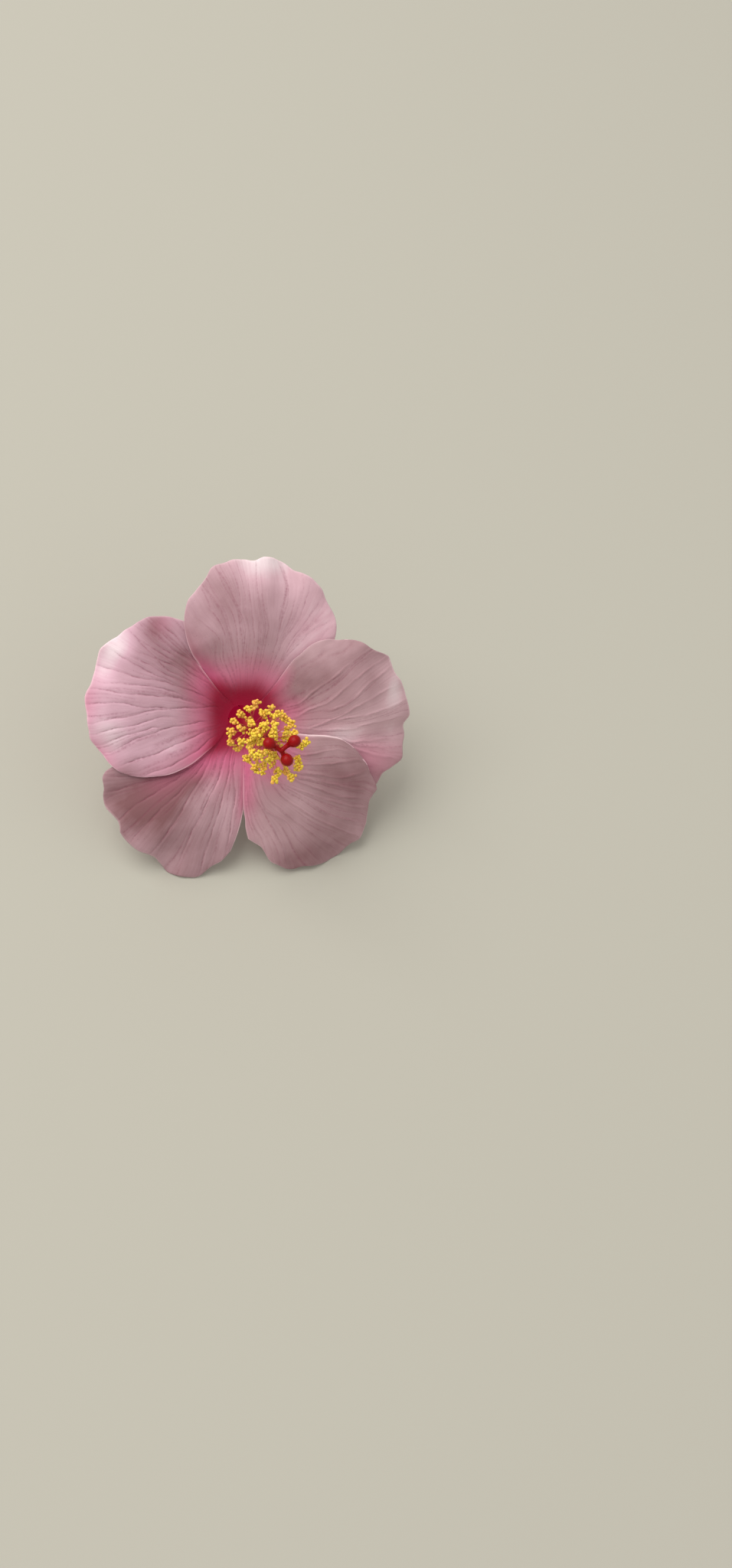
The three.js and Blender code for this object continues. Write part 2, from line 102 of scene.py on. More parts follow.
def turn_faces_out(merge=False):
    """Turns the active piece's faces outwards, after merging corners in one place if asked to."""
    bpy.ops.object.mode_set(mode="EDIT")
    bpy.ops.mesh.select_all(action="SELECT")
    if merge:
        bpy.ops.mesh.remove_doubles(threshold=1e-6)
    bpy.ops.mesh.normals_make_consistent(inside=False)
    bpy.ops.object.mode_set(mode="OBJECT")
    bpy.ops.object.shade_smooth()


def closed_skin(name, columns, rows, surface):
    """A laid sheet whose sides meet, with its seam and poles merged."""
    skin = laid_sheet(name, columns, rows, surface)
    turn_faces_out(merge=True)
    return skin


def thickened(sheet, thickness, mask=""):
    """Gives a sheet a thickness, thinned by a vertex group if one is named."""
    wall = sheet.modifiers.new("thickness", "SOLIDIFY")
    wall.thickness = thickness / PER_METRE
    wall.offset = 0
    wall.vertex_group = mask
    wall.thickness_vertex_group = 0.1 if mask else 0
    bpy.context.view_layer.objects.active = sheet
    bpy.ops.object.modifier_apply(modifier=wall.name)
    turn_faces_out()


def joined(name, parts):
    bpy.ops.object.select_all(action="DESELECT")
    for part in parts:
        part.select_set(True)
    bpy.context.view_layer.objects.active = parts[0]
    bpy.ops.object.join()
    parts[0].name = name
    return parts[0]


def tint(red, green, blue):
    """A colour given as on a paint chart, 0 to 255, in the linear values that shaders use."""
    share = [c / 255 for c in (red, green, blue)]
    return tuple(c / 12.92 if c < 0.04045 else ((c + 0.055) / 1.055) ** 2.4 for c in share) + (1,)


def node(tree, kind, values=None, **settings):
    """A shader node with its settings, and with values or other nodes' outputs on its inputs."""
    made = tree.nodes.new(kind)
    for key, value in settings.items():
        setattr(made, key, value)
    for socket, value in (values or {}).items():
        if isinstance(value, bpy.types.NodeSocket):
            tree.links.new(value, made.inputs[socket])
        else:
            made.inputs[socket].default_value = value
    return made


def plus(tree, *terms, operation="ADD"):
    """Adds numbers and sockets in turn, or combines them by another operation."""
    total = terms[0]
    for term in terms[1:]:
        total = node(tree, "ShaderNodeMath", {0: total, 1: term}, operation=operation).outputs[0]
    return total


def times(tree, *factors):
    return plus(tree, *factors, operation="MULTIPLY")


def blend_colours(tree, share, first, second):
    """The mix node keeps its two colours on inputs 6 and 7 and the blend on output 2."""
    return node(tree, "ShaderNodeMix", {"Factor": share, 6: first, 7: second}, data_type="RGBA").outputs[2]


def painted(tree, name):
    return node(tree, "ShaderNodeAttribute", attribute_name=name).outputs["Fac"]


def paint(piece, name, values):
    layer = piece.data.attributes.new(name, "FLOAT", "POINT")
    layer.data.foreach_set("value", np.asarray(values, np.float32))


def new_finish(name, roughness, sheen=0.0):
    finish = bpy.data.materials.new(name)
    finish.use_nodes = True
    shader = finish.node_tree.nodes["Principled BSDF"]
    shader.inputs["Roughness"].default_value = roughness
    shader.inputs["Specular IOR Level"].default_value = 0.3
    shader.inputs["Sheen Weight"].default_value = sheen
    return finish, finish.node_tree, shader


def coloured_and_bumped(tree, shader, colour, height, distance, strength):
    tree.links.new(colour, shader.inputs["Base Color"])
    bump = node(tree, "ShaderNodeBump", {"Height": height, "Distance": distance, "Strength": strength})
    tree.links.new(bump.outputs["Normal"], shader.inputs["Normal"])


# Mottled tissue: cells a fraction of a millimetre wide with softer blotches among them.
tissue = bpy.data.node_groups.new("plant_tissue", "ShaderNodeTree")
tissue.interface.new_socket("Cells Per Metre", in_out="INPUT", socket_type="NodeSocketFloat")
tissue.interface.new_socket("Blotch", in_out="OUTPUT", socket_type="NodeSocketFloat")
tissue.interface.new_socket("Grain", in_out="OUTPUT", socket_type="NodeSocketFloat")
tissue_cells = node(tissue, "NodeGroupInput").outputs[0]
tissue_place = node(tissue, "ShaderNodeTexCoord").outputs["Object"]
tissue_grain = node(tissue, "ShaderNodeTexNoise", {
    "Vector": tissue_place, "Scale": tissue_cells, "Detail": 3, "Roughness": 0.6,
})
tissue_blotch = node(tissue, "ShaderNodeTexNoise", {
    "Vector": tissue_place, "Scale": times(tissue, tissue_cells, 0.12), "Detail": 2, "Roughness": 0.5,
})
node(tissue, "NodeGroupOutput", {
    "Blotch": tissue_blotch.outputs["Fac"], "Grain": tissue_grain.outputs["Fac"],
})


def mottled(tree, cells_per_metre):
    """The outputs of the tissue, Blotch and Grain, in a finish."""
    return node(tree, "ShaderNodeGroup", {"Cells Per Metre": cells_per_metre}, node_tree=tissue).outputs


CALYX_FLOOR_TOP = -16.35
CALYX_FLOOR_BOTTOM = CALYX_FLOOR_TOP - 1.1
RECEPTACLE_TOP = CALYX_FLOOR_BOTTOM + 0.1
STALK_END = -43
STALK_BEND = 3.4
STALK_RIDGES = 7
RIDGE_HEIGHT = 0.035  # as a share of the radius
STALK_OUTLINE = [  # [share of the way along it, radius, height], from the cut end up
    [0, 0, STALK_END + 0.25], [0.05, 1.25, STALK_END + 0.1], [0.09, 1.55, STALK_END + 0.05],
    [0.13, 1.62, STALK_END + 0.3], [0.3, 1.5, STALK_END + 5], [0.5, 1.5, STALK_END + 13],
    [0.62, 1.62, RECEPTACLE_TOP - 6.4], [0.65, 1.95, RECEPTACLE_TOP - 5.9], [0.69, 1.85, RECEPTACLE_TOP - 5],
    [0.8, 2.6, RECEPTACLE_TOP - 3.2], [0.88, 3.7, RECEPTACLE_TOP - 1.4], [0.92, 3.85, RECEPTACLE_TOP - 0.7],
    [0.96, 3.5, RECEPTACLE_TOP], [1, 0, RECEPTACLE_TOP],
]
BRACTS = 7
BRACT_HEADING = 18
BRACT_WIDTH = 2.1
BRACT_THICKNESS = 0.5
BRACT_CUPPING = 0.5
BRACT_MIDRIB = 0.15
MIDRIB_WIDTH = 0.25
BRACT_OUTLINE = [  # [share of its length, radius, height], from its root up
    [0, 2.4, -19.4], [0.16, 4, -19.8], [0.3, 5.6, -19.6], [0.44, 7.1, -18.9], [0.58, 8.2, -17.6],
    [0.72, 9, -15.4], [0.86, 9.4, -13], [1, 10, -8.6],
]


def stalk_surface(u, v):
    turn = 2 * np.pi * u
    radius, height = radius_and_height(STALK_OUTLINE, v)
    ridges = RIDGE_HEIGHT * np.cos(STALK_RIDGES * turn) * ramp(0.1, 0.2, v) * (1 - ramp(0.6, 0.7, v))
    radius = radius * (1 + ridges)
    share = np.maximum(0, (RECEPTACLE_TOP - height) / (RECEPTACLE_TOP - STALK_END))
    return np.stack([radius * np.cos(turn), radius * np.sin(turn) + STALK_BEND * share ** 2, height], -1)


def bract_surface(heading, length, spread):
    def surface(u, v):
        radius, height = radius_and_height(BRACT_OUTLINE, v * length)
        width = BRACT_WIDTH * (0.75 + 0.5 * v) * np.sqrt(np.maximum(0.01, 1 - v ** 2.2))
        across = (0.5 - u) * width
        cupping = BRACT_CUPPING * (across / BRACT_WIDTH) ** 2
        midrib = BRACT_MIDRIB * np.exp(-(across / MIDRIB_WIDTH) ** 2)
        radius = radius + spread * (v * length) ** 2 - (cupping - midrib)
        c, s = math.cos(heading), math.sin(heading)
        return np.stack([radius * c - across * s, radius * s + across * c, height], -1)
    return surface


green_finish, green, green_shader = new_finish("leaf_green", 0.55)
green_tissue = mottled(green, 1600)
green_colour = blend_colours(green, green_tissue["Blotch"], tint(74, 98, 40), tint(128, 148, 74))
green_colour = blend_colours(green, painted(green, "pale"), green_colour, tint(196, 200, 138))
coloured_and_bumped(green, green_shader, green_colour, green_tissue["Grain"], 0.0003, 0.6)

stalk = closed_skin("stalk", 28, 90, stalk_surface)
paint(stalk, "pale", 1 - ramp(STALK_END, STALK_END + 0.5, bloom_points(stalk)[:, 2]))
stalk.data.materials.append(green_finish)

bract_luck = random.Random(5)
bracts = []
for i in range(BRACTS):
    heading = math.radians(BRACT_HEADING + 360 * i / BRACTS)
    shape = bract_surface(heading, bract_luck.uniform(0.82, 1), bract_luck.uniform(-0.2, 0.5))
    bract = laid_sheet(f"bract_{i}", 10, 26, shape)
    paint(bract, "pale", [0.25] * len(bract.data.vertices))
    thickened(bract, BRACT_THICKNESS)
    bract.data.materials.append(green_finish)
    bracts.append(bract)
stalk = joined("stalk_and_bracts", [stalk, *bracts])
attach(stalk, "root")
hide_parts("stalk_with_bracts")

# ---------- calyx
# The calyx is a leathery green cup of five joined sepals with pointed free tips. It grows out of
# the receptacle and holds the claws of the petals.
FUNNEL_SLOPE = [  # [distance along the corolla from its foot, slope in degrees]
    [0, 86], [14, 84], [20, 62], [26, 42], [33, 24], [42, 11], [52, 1], [64, -11], [76, -21], [92, -30],
]
FUNNEL_STEP = 0.5
FUNNEL_LENGTH = 92
CLAW_RADIUS = 3.6
CLAW_FOOT = -16
CALYX_NOTCH = 15  # how far along the corolla its notches reach, and its lobes beyond them
CALYX_LOBE = 13
CALYX_HEADING = 54
CALYX_WALL = 0.9
HALF_LOBE = 36  # in degrees
FLOOR_ROWS = 0.1  # the share of its rows that close the floor at either end, and the rim's row
RIM_ROW = 0.52
FLOOR_RISE = 0.6

walked = np.arange(0, FUNNEL_LENGTH + FUNNEL_STEP / 2, FUNNEL_STEP)
walked_slope = np.radians(linear(FUNNEL_SLOPE, walked[1:] - FUNNEL_STEP / 2))
walked_radius = CLAW_RADIUS + np.concatenate([[0], np.cumsum(FUNNEL_STEP * np.cos(walked_slope))])
walked_height = CLAW_FOOT + np.concatenate([[0], np.cumsum(FUNNEL_STEP * np.sin(walked_slope))])


def radius_at(along):
    return np.interp(along, walked, walked_radius)


def on_funnel(along, direction, lift):
    """A point of the corolla: distance along the funnel, direction in degrees, lift off its face."""
    slope = np.radians(linear(FUNNEL_SLOPE, along))
    r = radius_at(along) - lift * np.sin(slope)
    z = np.interp(along, walked, walked_height) + lift * np.cos(slope)
    return np.stack([r * np.cos(np.radians(direction)), r * np.sin(np.radians(direction)), z], -1)


def calyx_surface(u, v):
    """Runs over the underside, up the outside to the rim, down the inside and over the floor."""
    direction = 360 * u + CALYX_HEADING
    off_notch = np.abs(360 * u % (2 * HALF_LOBE) - HALF_LOBE)
    up_outside = np.clip((v - FLOOR_ROWS) / (RIM_ROW - FLOOR_ROWS), 0, 1)
    up_inside = np.clip((1 - FLOOR_ROWS - v) / (1 - FLOOR_ROWS - RIM_ROW), 0, 1)
    share = np.where(v < RIM_ROW, up_outside, up_inside)
    along = share * (CALYX_NOTCH + CALYX_LOBE * (off_notch / HALF_LOBE) ** 1.15)
    depth = 0.72 + 1.1 * ramp(5, 9, radius_at(along))
    rib = 0.16 * np.exp(-((HALF_LOBE - off_notch) / 3) ** 2) + 0.1 * np.exp(-(off_notch / 2) ** 2)
    wall = np.where(v < RIM_ROW, CALYX_WALL * (1 - 0.45 * share) + rib * (1 - 0.6 * share), 0)
    points = on_funnel(along, direction, -(depth + wall))
    closing = np.clip(np.minimum(v, 1 - v) / FLOOR_ROWS, 0, 1)
    floor = np.where(v < 0.5, CALYX_FLOOR_BOTTOM + FLOOR_RISE * closing ** 4, CALYX_FLOOR_TOP)
    points[:, :2] *= closing[:, None]
    points[:, 2] = np.where(closing < 1, floor, np.maximum(points[:, 2], floor))
    return points


calyx = closed_skin("calyx_cup", 160, 80, calyx_surface)
paint(calyx, "pale", 0.1 + 0.5 * ramp(-2, 6, bloom_points(calyx)[:, 2]))
calyx.data.materials.append(green_finish)
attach(calyx, "root")
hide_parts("calyx")

# ---------- petals
# Five thin, soft petals, joined only at their claws. Each spreads from the funnel of the throat into
# a broad ruffled blade with sunken or raised veins, and each overlaps its neighbours.
PETAL_COLUMNS = 240
PETAL_ROWS = 190
PETAL_THICKNESS = 0.36
TAPER_STEP = 0.42  # towards its margin a blade thins at steps this wide, to these shares
TAPER_SHARES = (0.25, 0.6, 0.95, 1)
OVERLAP_LIFT = 0.9
PILLOW = 1.4
RUFFLE = 1.1
RIM_RUFFLE = 0.16
RIM_TRIM = 0.2  # the blades stop this much short of the rims in the list
VEIN_WIDTH = 0.42
VEIN_SWELLING = 1.6
VEIN_COLOUR_WIDTH = 0.23
FINE_VEINS = 60
FINE_VEIN_WIDTH = 0.26
FINE_VEIN_DEPTH = 0.07
# Directions are in degrees round the bloom. Each petal has its right and left margins as [radius,
# direction] and its rim as [direction, radius] between them; how far each margin lies over its
# neighbour's, or under it, as [radius, share]; folds as [direction, half width, start, depth]; the
# edge of the crimson as [direction, radius]; and its main veins as [radius, direction]. The ground is
# how pale the blade is, or how dusky below 0. Tones change it in soft patches, each [direction,
# radius, half width, half depth, strength]: painted highlights where the blade catches the light,
# and painted shade where it lies in shadow, such as the left petal's shadow on the lower left one.
# Pinks are such patches too. Edges are more of them: painted rim highlights on the pale rim.
PETALS = [
    {
        "name": "top_petal", "node": "petal_top",
        "right": [[3, 54.3], [5.5, 54.3], [8, 52.8], [11, 50], [16, 47], [24, 45], [34, 44], [45, 44.8]],
        "left": [[3, 125.8], [5.5, 125.8], [8, 128], [11, 134], [17, 136], [23, 134], [27, 131.4],
            [30, 130.4], [34, 129.9], [38, 128.2], [42, 125.8], [45.5, 123.5]],
        "rim": [[44.8, 45], [46.4, 47.2], [49, 49.8], [52.6, 52], [56.8, 53.8], [61.4, 56.5], [66, 58.3],
            [70, 59], [73.4, 59.6], [78.7, 61.8], [84.5, 61.7], [88.3, 60.1], [92, 60.2], [96.5, 60.3],
            [100.8, 59.7], [104.3, 59.2], [107, 56.7], [111.6, 53.9], [116.9, 51.7], [120.4, 48.8],
            [123.5, 45.5]],
        "right_lift": [[0, -1], [60, -1]], "left_lift": [[20, -1], [24, -0.9], [35, 0.9], [39, 1]],
        "folds": [[84, 13, 46, -3.5], [108, 9, 44, -1.5]],
        "throat": [[45, 10], [60, 13], [80, 14.5], [102, 14.5], [113, 15], [124, 18.5], [134, 21.5]],
        "warmth": 0.35, "ground": -0.42,
        "tone_and_light_patches": [[56, 42, 16, 18, 0.5], [86, 61, 12, 7, 0.95], [104, 51, 8, 7, -0.45],
            [116, 52, 10, 5, 0.35], [131, 34, 10, 14, -0.35], [129, 24, 8, 8, -0.5],
            [78, 53, 22, 8, 0.13]],
        "pinks": [[58, 40, 10, 12, 0.1], [131, 30, 9, 14, 0.2]],
        "edge_highlights": [[86, 62, 12, 8, 0.6]],
        "vein_height": -0.03, "vein_colour": 0.4,
        "veins": [[[27, 115], [34, 111.5], [38, 113], [45, 117.5]],
            [[27, 104], [38, 104.5], [50, 107.5], [56, 109.5]],
            [[25, 98], [35, 95], [42, 97], [51, 100], [58, 102]], [[42, 97], [52, 96.5], [60, 98.5]],
            [[21, 91], [31, 89.5], [43, 91.5], [53, 92]],
            [[22, 82], [36, 81.5], [41, 84], [46, 86], [54, 87]],
            [[23, 73], [36, 74.5], [51, 74.5], [61, 78]],
            [[24, 70], [33, 70], [39, 67], [46, 66], [58, 67]],
            [[24, 66], [36, 64.5], [43, 62], [56, 60]], [[24, 64], [37, 58.5], [44, 55], [51, 50.5]]],
    },
    {
        "name": "upper_right_petal", "node": "petal_upper_right",
        "right": [[3, -17.8], [5.5, -17.8], [8, -19], [11, -20], [17, -24], [27, -27], [40, -28.5],
            [50, -28.3], [56.6, -27.2]],
        "left": [[3, 53.7], [5.5, 53.7], [8, 55.2], [11, 56], [16, 57.4], [22, 58.4], [28, 57.9],
            [32, 55.7], [36.4, 53.8], [40, 51.2], [42.9, 47.8]],
        "rim": [[-27.2, 56.6], [-23.6, 57.1], [-20.6, 57.3], [-17.3, 60], [-14, 62.6], [-10.2, 62.9],
            [-6, 63.9], [-1.9, 63], [1.3, 63.8], [5.6, 62.9], [9.1, 62.1], [13.8, 60.7], [17.2, 58.8],
            [20.4, 58], [24.5, 58.3], [26.9, 56.5], [30.5, 53.6], [35, 51.5], [39.3, 49.4], [43, 45.8],
            [47.8, 42.9]],
        "right_lift": [[0, -1], [60, -1]], "left_lift": [[0, 1], [60, 1]],
        "folds": [[4, 12, 44, -2.4], [-12, 8, 46, 1.6]],
        "throat": [[-24, 9], [0, 8.5], [15, 10.5], [30, 11.5], [44, 13.5], [56, 15]],
        "warmth": 0.55, "ground": -0.5,
        "tone_and_light_patches": [[0, 44, 10, 20, 0.45], [-10, 34, 8, 9, 0.75], [13, 57, 9, 6, 0.75],
            [50, 41, 11, 7, 0.35], [36, 26, 14, 12, -0.2], [-5, 58, 6, 6, 0.2], [-26, 46, 6, 12, -0.25]],
        "pinks": [[-17, 44, 9, 16, 0.35], [40, 20, 12, 9, -0.35], [4, 24, 16, 10, 0.1]],
        "edge_highlights": [[10, 60, 16, 6, 0.4]],
        "vein_height": 0.22, "vein_colour": 0.2,
        "veins": [[[20, 23], [25, 27.5], [34, 30], [44, 32]],
            [[17, 7], [22, 13], [29, 16], [37, 21], [43, 24], [57, 25.5]],
            [[32, 10.5], [36, 12], [42, 16], [47, 19], [56, 21]],
            [[21, -5.5], [28, 1], [36, 7], [42, 10], [49, 12.5], [58, 13.5]],
            [[32, 3], [37, 3.5], [46, 4.5], [61, 7]],
            [[26, -5], [38, -3], [42, -1.5], [48, 0], [62, 1.5]],
            [[28, -9.5], [39, -11], [45, -9], [61, -7]], [[36, -10], [44, -11.5], [61, -10.5]],
            [[37, -11], [41, -13.5], [48, -14.5], [60, -14.5]]],
    },
    {
        "name": "lower_right_petal", "node": "petal_lower_right",
        "right": [[3, -89.8], [5.5, -89.8], [8, -92], [11, -96], [15, -97.2], [22.7, -95.9],
            [30.2, -94.3], [35, -92.4], [38.3, -91.7], [43, -89.9]],
        "left": [[3, -18.2], [5.5, -18.2], [8, -16.5], [11, -14], [16, -12], [22.3, -10], [25.6, -8.6],
            [29.9, -8.1], [34.6, -8.9], [38.9, -12.6], [42.9, -16.7]],
        "rim": [[-89.9, 43], [-86.9, 44.7], [-83, 47.5], [-80.6, 52.1], [-76.8, 55.3], [-72.4, 58.3],
            [-66.9, 59.1], [-61.9, 62], [-57.6, 63.8], [-53.8, 64.2], [-49.1, 63], [-45.6, 63.8],
            [-42.4, 63.4], [-37.3, 60.8], [-33, 56.6], [-30, 56.2], [-27.2, 56.6], [-24.6, 53.2],
            [-22, 50.2], [-19.8, 48.1], [-16.7, 42.9]],
        "right_lift": [[12, 0.6], [60, 0.6]], "left_lift": [[20, 1], [32, 1.9], [44, 1.9], [52, 1]],
        "folds": [[-50, 12, 46, -2.6], [-66, 8, 44, 1.4]],
        "throat": [[-96, 8], [-74, 9], [-54, 11], [-40, 13], [-14, 11]],
        "warmth": 0.6, "ground": -0.5,
        "tone_and_light_patches": [[-82, 42, 12, 9, 0.25], [-58, 32, 10, 8, 0.25], [-31, 42, 12, 10, -0.4],
            [-68, 56, 14, 7, -0.3]],
        "pinks": [[-92, 22, 8, 13, 0.55], [-60, 20, 22, 7, 0.35]],
        "edge_highlights": [[-12, 34, 9, 20, 1.2]],
        "vein_height": 0.32, "vein_colour": 0.28,
        "veins": [[[20, -32.5], [24, -28], [30, -19.5], [34, -15.5]],
            [[25, -37], [29, -30.5], [34, -25.5], [43, -18]],
            [[24, -47], [28, -40.5], [32, -36], [41, -29], [49, -21.5]],
            [[27, -47.5], [31, -41.5], [36, -37], [51, -30]],
            [[26, -51], [31, -46], [37, -42], [54, -33]],
            [[23, -65], [26, -59], [34, -49.5], [42, -43], [57, -36]],
            [[27, -60], [33, -54], [42, -50], [50, -45.5], [61, -40.5]],
            [[22, -70], [26, -68], [34, -61], [43, -54.5], [53, -49], [62, -45.5]],
            [[23, -78.5], [28, -75.5], [33, -70], [41, -63.5], [51, -58], [62, -54]],
            [[24, -83.5], [31, -80.5], [38, -70], [44, -67.5], [59, -62]],
            [[25, -87.5], [33, -80], [44, -75.5], [55, -74]],
            [[28, -91.5], [36, -88.5], [42, -84], [51, -81.5]]],
    },
    {
        "name": "lower_left_petal", "node": "petal_lower_left",
        "right": [[3, -161.8], [5.5, -161.8], [8, -162.6], [11, -163], [17, -165], [30, -166],
            [42, -166.5], [52.4, -163.8]],
        "left": [[3, -90.2], [5.5, -90.2], [8, -89.6], [11, -90], [15, -92.6], [24, -92.4], [31, -93.4],
            [37.4, -94.5], [43.1, -95.8], [48.4, -97.3]],
        "rim": [[-163.8, 52.4], [-162.9, 55.1], [-161, 56.9], [-156.7, 58], [-153.6, 60], [-150, 60.7],
            [-146.5, 59.6], [-142.3, 59.6], [-139.8, 61], [-135.3, 61.3], [-130.3, 60.7], [-125.7, 59.9],
            [-121.4, 61.7], [-117.8, 63.6], [-115.1, 62.8], [-111.3, 61.7], [-107.1, 60.2],
            [-103.9, 55.6], [-100.3, 52.3], [-97.3, 48.4]],
        "right_lift": [[0, -1], [60, -1]], "left_lift": [[12, -0.65], [60, -0.65]],
        "folds": [[-126, 9, 44, -2], [-142, 8, 46, 1.6]],
        "throat": [[-166, 18], [-145, 18], [-136, 15], [-128, 12], [-111, 9], [-94, 8]],
        "warmth": 0.4, "ground": -0.5,
        "tone_and_light_patches": [[-145, 40, 12, 22, -0.75], [-104, 34, 8, 10, 0.35], [-122, 28, 6, 9, 0.35],
            [-138, 27, 8, 8, -0.3], [-129, 46, 9, 9, -0.2], [-128, 60, 12, 5, 0.2]],
        "pinks": [[-118, 20, 20, 9, 0.25], [-94, 24, 5, 12, 0.5], [-150, 32, 10, 12, 0.3]],
        "edge_highlights": [[-94, 40, 5, 14, 0.4]],
        "vein_height": -0.22, "vein_colour": 0.65,
        "veins": [[[15, -145.5], [22, -136], [30, -133], [44, -129], [59, -127]],
            [[14, -126], [20, -121.5], [32, -120], [44, -119], [57, -116]],
            [[13, -117], [20, -112.5], [34, -110], [46, -109], [58, -107.5]],
            [[16, -110], [24, -102], [33, -100.5], [48, -99.5]],
            [[17, -144.5], [27, -139], [46, -137.5], [60, -135.5]],
            [[20, -146], [32, -145], [49, -145.5], [60, -144]],
            [[23, -145.5], [31, -147], [42, -152], [59, -155]],
            [[27, -146], [38, -151.5], [47, -157.5], [56, -161]]],
    },
    {
        "name": "left_petal", "node": "petal_left",
        "right": [[3, 126.2], [5.5, 126.2], [8, 126.2], [11, 129.5], [15, 131.8], [20, 131.8], [25, 131],
            [29, 130.3], [33, 128.6], [38, 124], [46.2, 122.9]],
        "left": [[3, 198], [5.5, 198], [8, 201], [11, 207], [14.1, 210.3], [19.3, 211.2], [24.8, 211.9],
            [28.9, 211.3], [34.3, 209.7], [39.1, 207], [43.7, 204.4], [47.2, 201.7]],
        "rim": [[122.9, 46.2], [124.1, 47.4], [126.6, 50.1], [129.9, 52.7], [133.3, 55.1], [136.9, 56.1],
            [141.6, 57.5], [145.8, 58.4], [150, 60.4], [154.1, 61.3], [158.5, 60.7], [163.3, 59.9],
            [167.6, 60.4], [170.1, 60.5], [174, 59.5], [177.9, 58.5], [183.8, 58], [187.3, 56.4],
            [191.1, 54.6], [195.2, 52.6], [198.2, 50.5], [201.7, 47.2]],
        "right_lift": [[20, 1], [24, 0.9], [35, -0.9], [39, -1]], "left_lift": [[0, 1], [60, 1]],
        "folds": [[160, 14, 46, -2.6], [181, 9, 44, 1.2]],
        "throat": [[126, 21.5], [144, 18.5], [153, 16.5], [162, 15], [172, 14], [191, 14], [200, 15],
            [211, 18]],
        "warmth": 0.0, "ground": -0.35,
        "tone_and_light_patches": [[176, 40, 14, 24, 0.28], [184, 52, 10, 7, 0.5], [150, 57, 12, 5, 0.75],
            [135, 51, 6, 5, -0.4], [138, 32, 11, 16, -0.4], [132, 26, 6, 9, -0.45],
            [150, 25, 9, 9, -0.35], [200, 49, 6, 5, -0.4], [195, 32, 7, 9, 0.35], [208, 24, 6, 10, -0.3]],
        "pinks": [[191, 56, 8, 5, 0.4], [172, 60, 8, 4, 0.35], [131, 50, 5, 4, 0.15],
            [205, 32, 8, 12, 0.2]],
        "edge_highlights": [[150, 60, 14, 6, 0.5], [190, 55, 12, 8, 0.3]],
        "vein_height": -0.3, "vein_colour": 0.65,
        "veins": [[[22, 133], [32, 132.5], [38, 135], [53, 136.5]], [[31, 130.5], [40, 130], [51, 131.5]],
            [[27, 134.5], [37, 137.5], [47, 139], [54, 139]], [[30, 141], [38, 142.5], [49, 146.5]],
            [[25, 145.5], [37, 148], [50, 149]], [[32, 155], [43, 158.5], [55, 163]],
            [[22, 135], [28, 138], [35, 139.5], [49, 142]],
            [[28, 143.5], [38, 145.5], [44, 144], [57, 141.5]],
            [[21, 147], [28, 150], [34, 151.5], [39, 153.5], [46, 156], [60, 158]],
            [[35, 150.5], [45, 151.5], [56, 151]],
            [[23, 156.5], [28, 158], [33, 159.5], [44, 163.5], [61, 166.5]],
            [[14, 152], [22, 161.5], [35, 168.5], [45, 174], [57, 178]],
            [[33, 167], [40, 168.5], [50, 169], [60, 172]],
            [[17, 175.5], [25, 178], [36, 182.5], [47, 187.5], [52, 190]],
            [[33, 172], [40, 177], [48, 179.5], [56, 182]], [[36, 179.5], [44, 182.5], [55, 186.5]],
            [[15, 188], [25, 191.5], [34, 194.5], [50, 196]],
            [[16, 200], [21, 204], [34, 205], [42, 204]]],
    },
]


def along_at(radius):
    return np.interp(radius, walked_radius, walked)


def smooth(points, x):
    """A smooth curve through a list of [x, y]: cubic pieces whose slopes come from the neighbours."""
    table = np.array(points, float)
    xs, ys = table[:, 0], table[:, 1]
    before, after = np.maximum(np.arange(len(xs)) - 1, 0), np.minimum(np.arange(len(xs)) + 1, len(xs) - 1)
    slopes = (ys[after] - ys[before]) / (xs[after] - xs[before])
    x = np.clip(x, xs[0], xs[-1])
    i = np.clip(np.searchsorted(xs, x) - 1, 0, len(xs) - 2)
    width = xs[i + 1] - xs[i]
    t = (x - xs[i]) / width
    start = ys[i] * (1 + 2 * t) * (1 - t) ** 2 + slopes[i] * width * t * (1 - t) ** 2
    end = ys[i + 1] * t * t * (3 - 2 * t) + slopes[i + 1] * width * t * t * (t - 1)
    return start + end


def waves(direction, *parts):
    """A sum of waves round the bloom, each part [waves in a full turn, phase in degrees, height]."""
    return sum(height * np.sin(np.radians(count * direction + phase)) for count, phase, height in parts)


def shared_relief(r, direction):
    """Swells and waves that all five petals have in common, so that they never cut each other."""
    pillow = PILLOW * np.cos(np.radians(5 * (direction - 90))) * ramp(14, 44, r)
    return pillow + RUFFLE * waves(direction, (13, 0, 1), (22, 40, 0.6)) * ramp(40, 64, r)


def vein_marks(petal, r, direction, width):
    """How strongly each point lies on one of the petal's main veins, for a given vein width."""
    marks = np.zeros_like(r)
    for k, vein in enumerate(petal["veins"]):
        wander = 0.16 * np.sin(r * 0.5 + 2.1 * k) + 0.07 * np.sin(r * 1.3 + 4.3 * k)
        aside = np.radians(direction - smooth(vein, r)) * r - wander
        first, last = vein[0][0], vein[-1][0]
        shown = ramp(first - 6, first + 2, r) * (1 - 0.8 * ramp(last - 6, last + 3, r))
        shown = shown * (0.75 + 0.25 * np.sin(r * 0.55 + 1.7 * k))
        marks = np.maximum(marks, shown * np.exp(-(aside / width) ** 2))
    return marks


def vein_fan(petal, r, direction):
    """How many main veins lie to the right of each point, with the share of the way to the next."""
    paths = [smooth(path, r) for path in (petal["right"], petal["left"], *petal["veins"])]
    paths = np.sort(np.array(paths), axis=0)
    return np.clip((direction - paths[:-1]) / np.maximum(np.diff(paths, axis=0), 0.3), 0, 1).sum(axis=0)


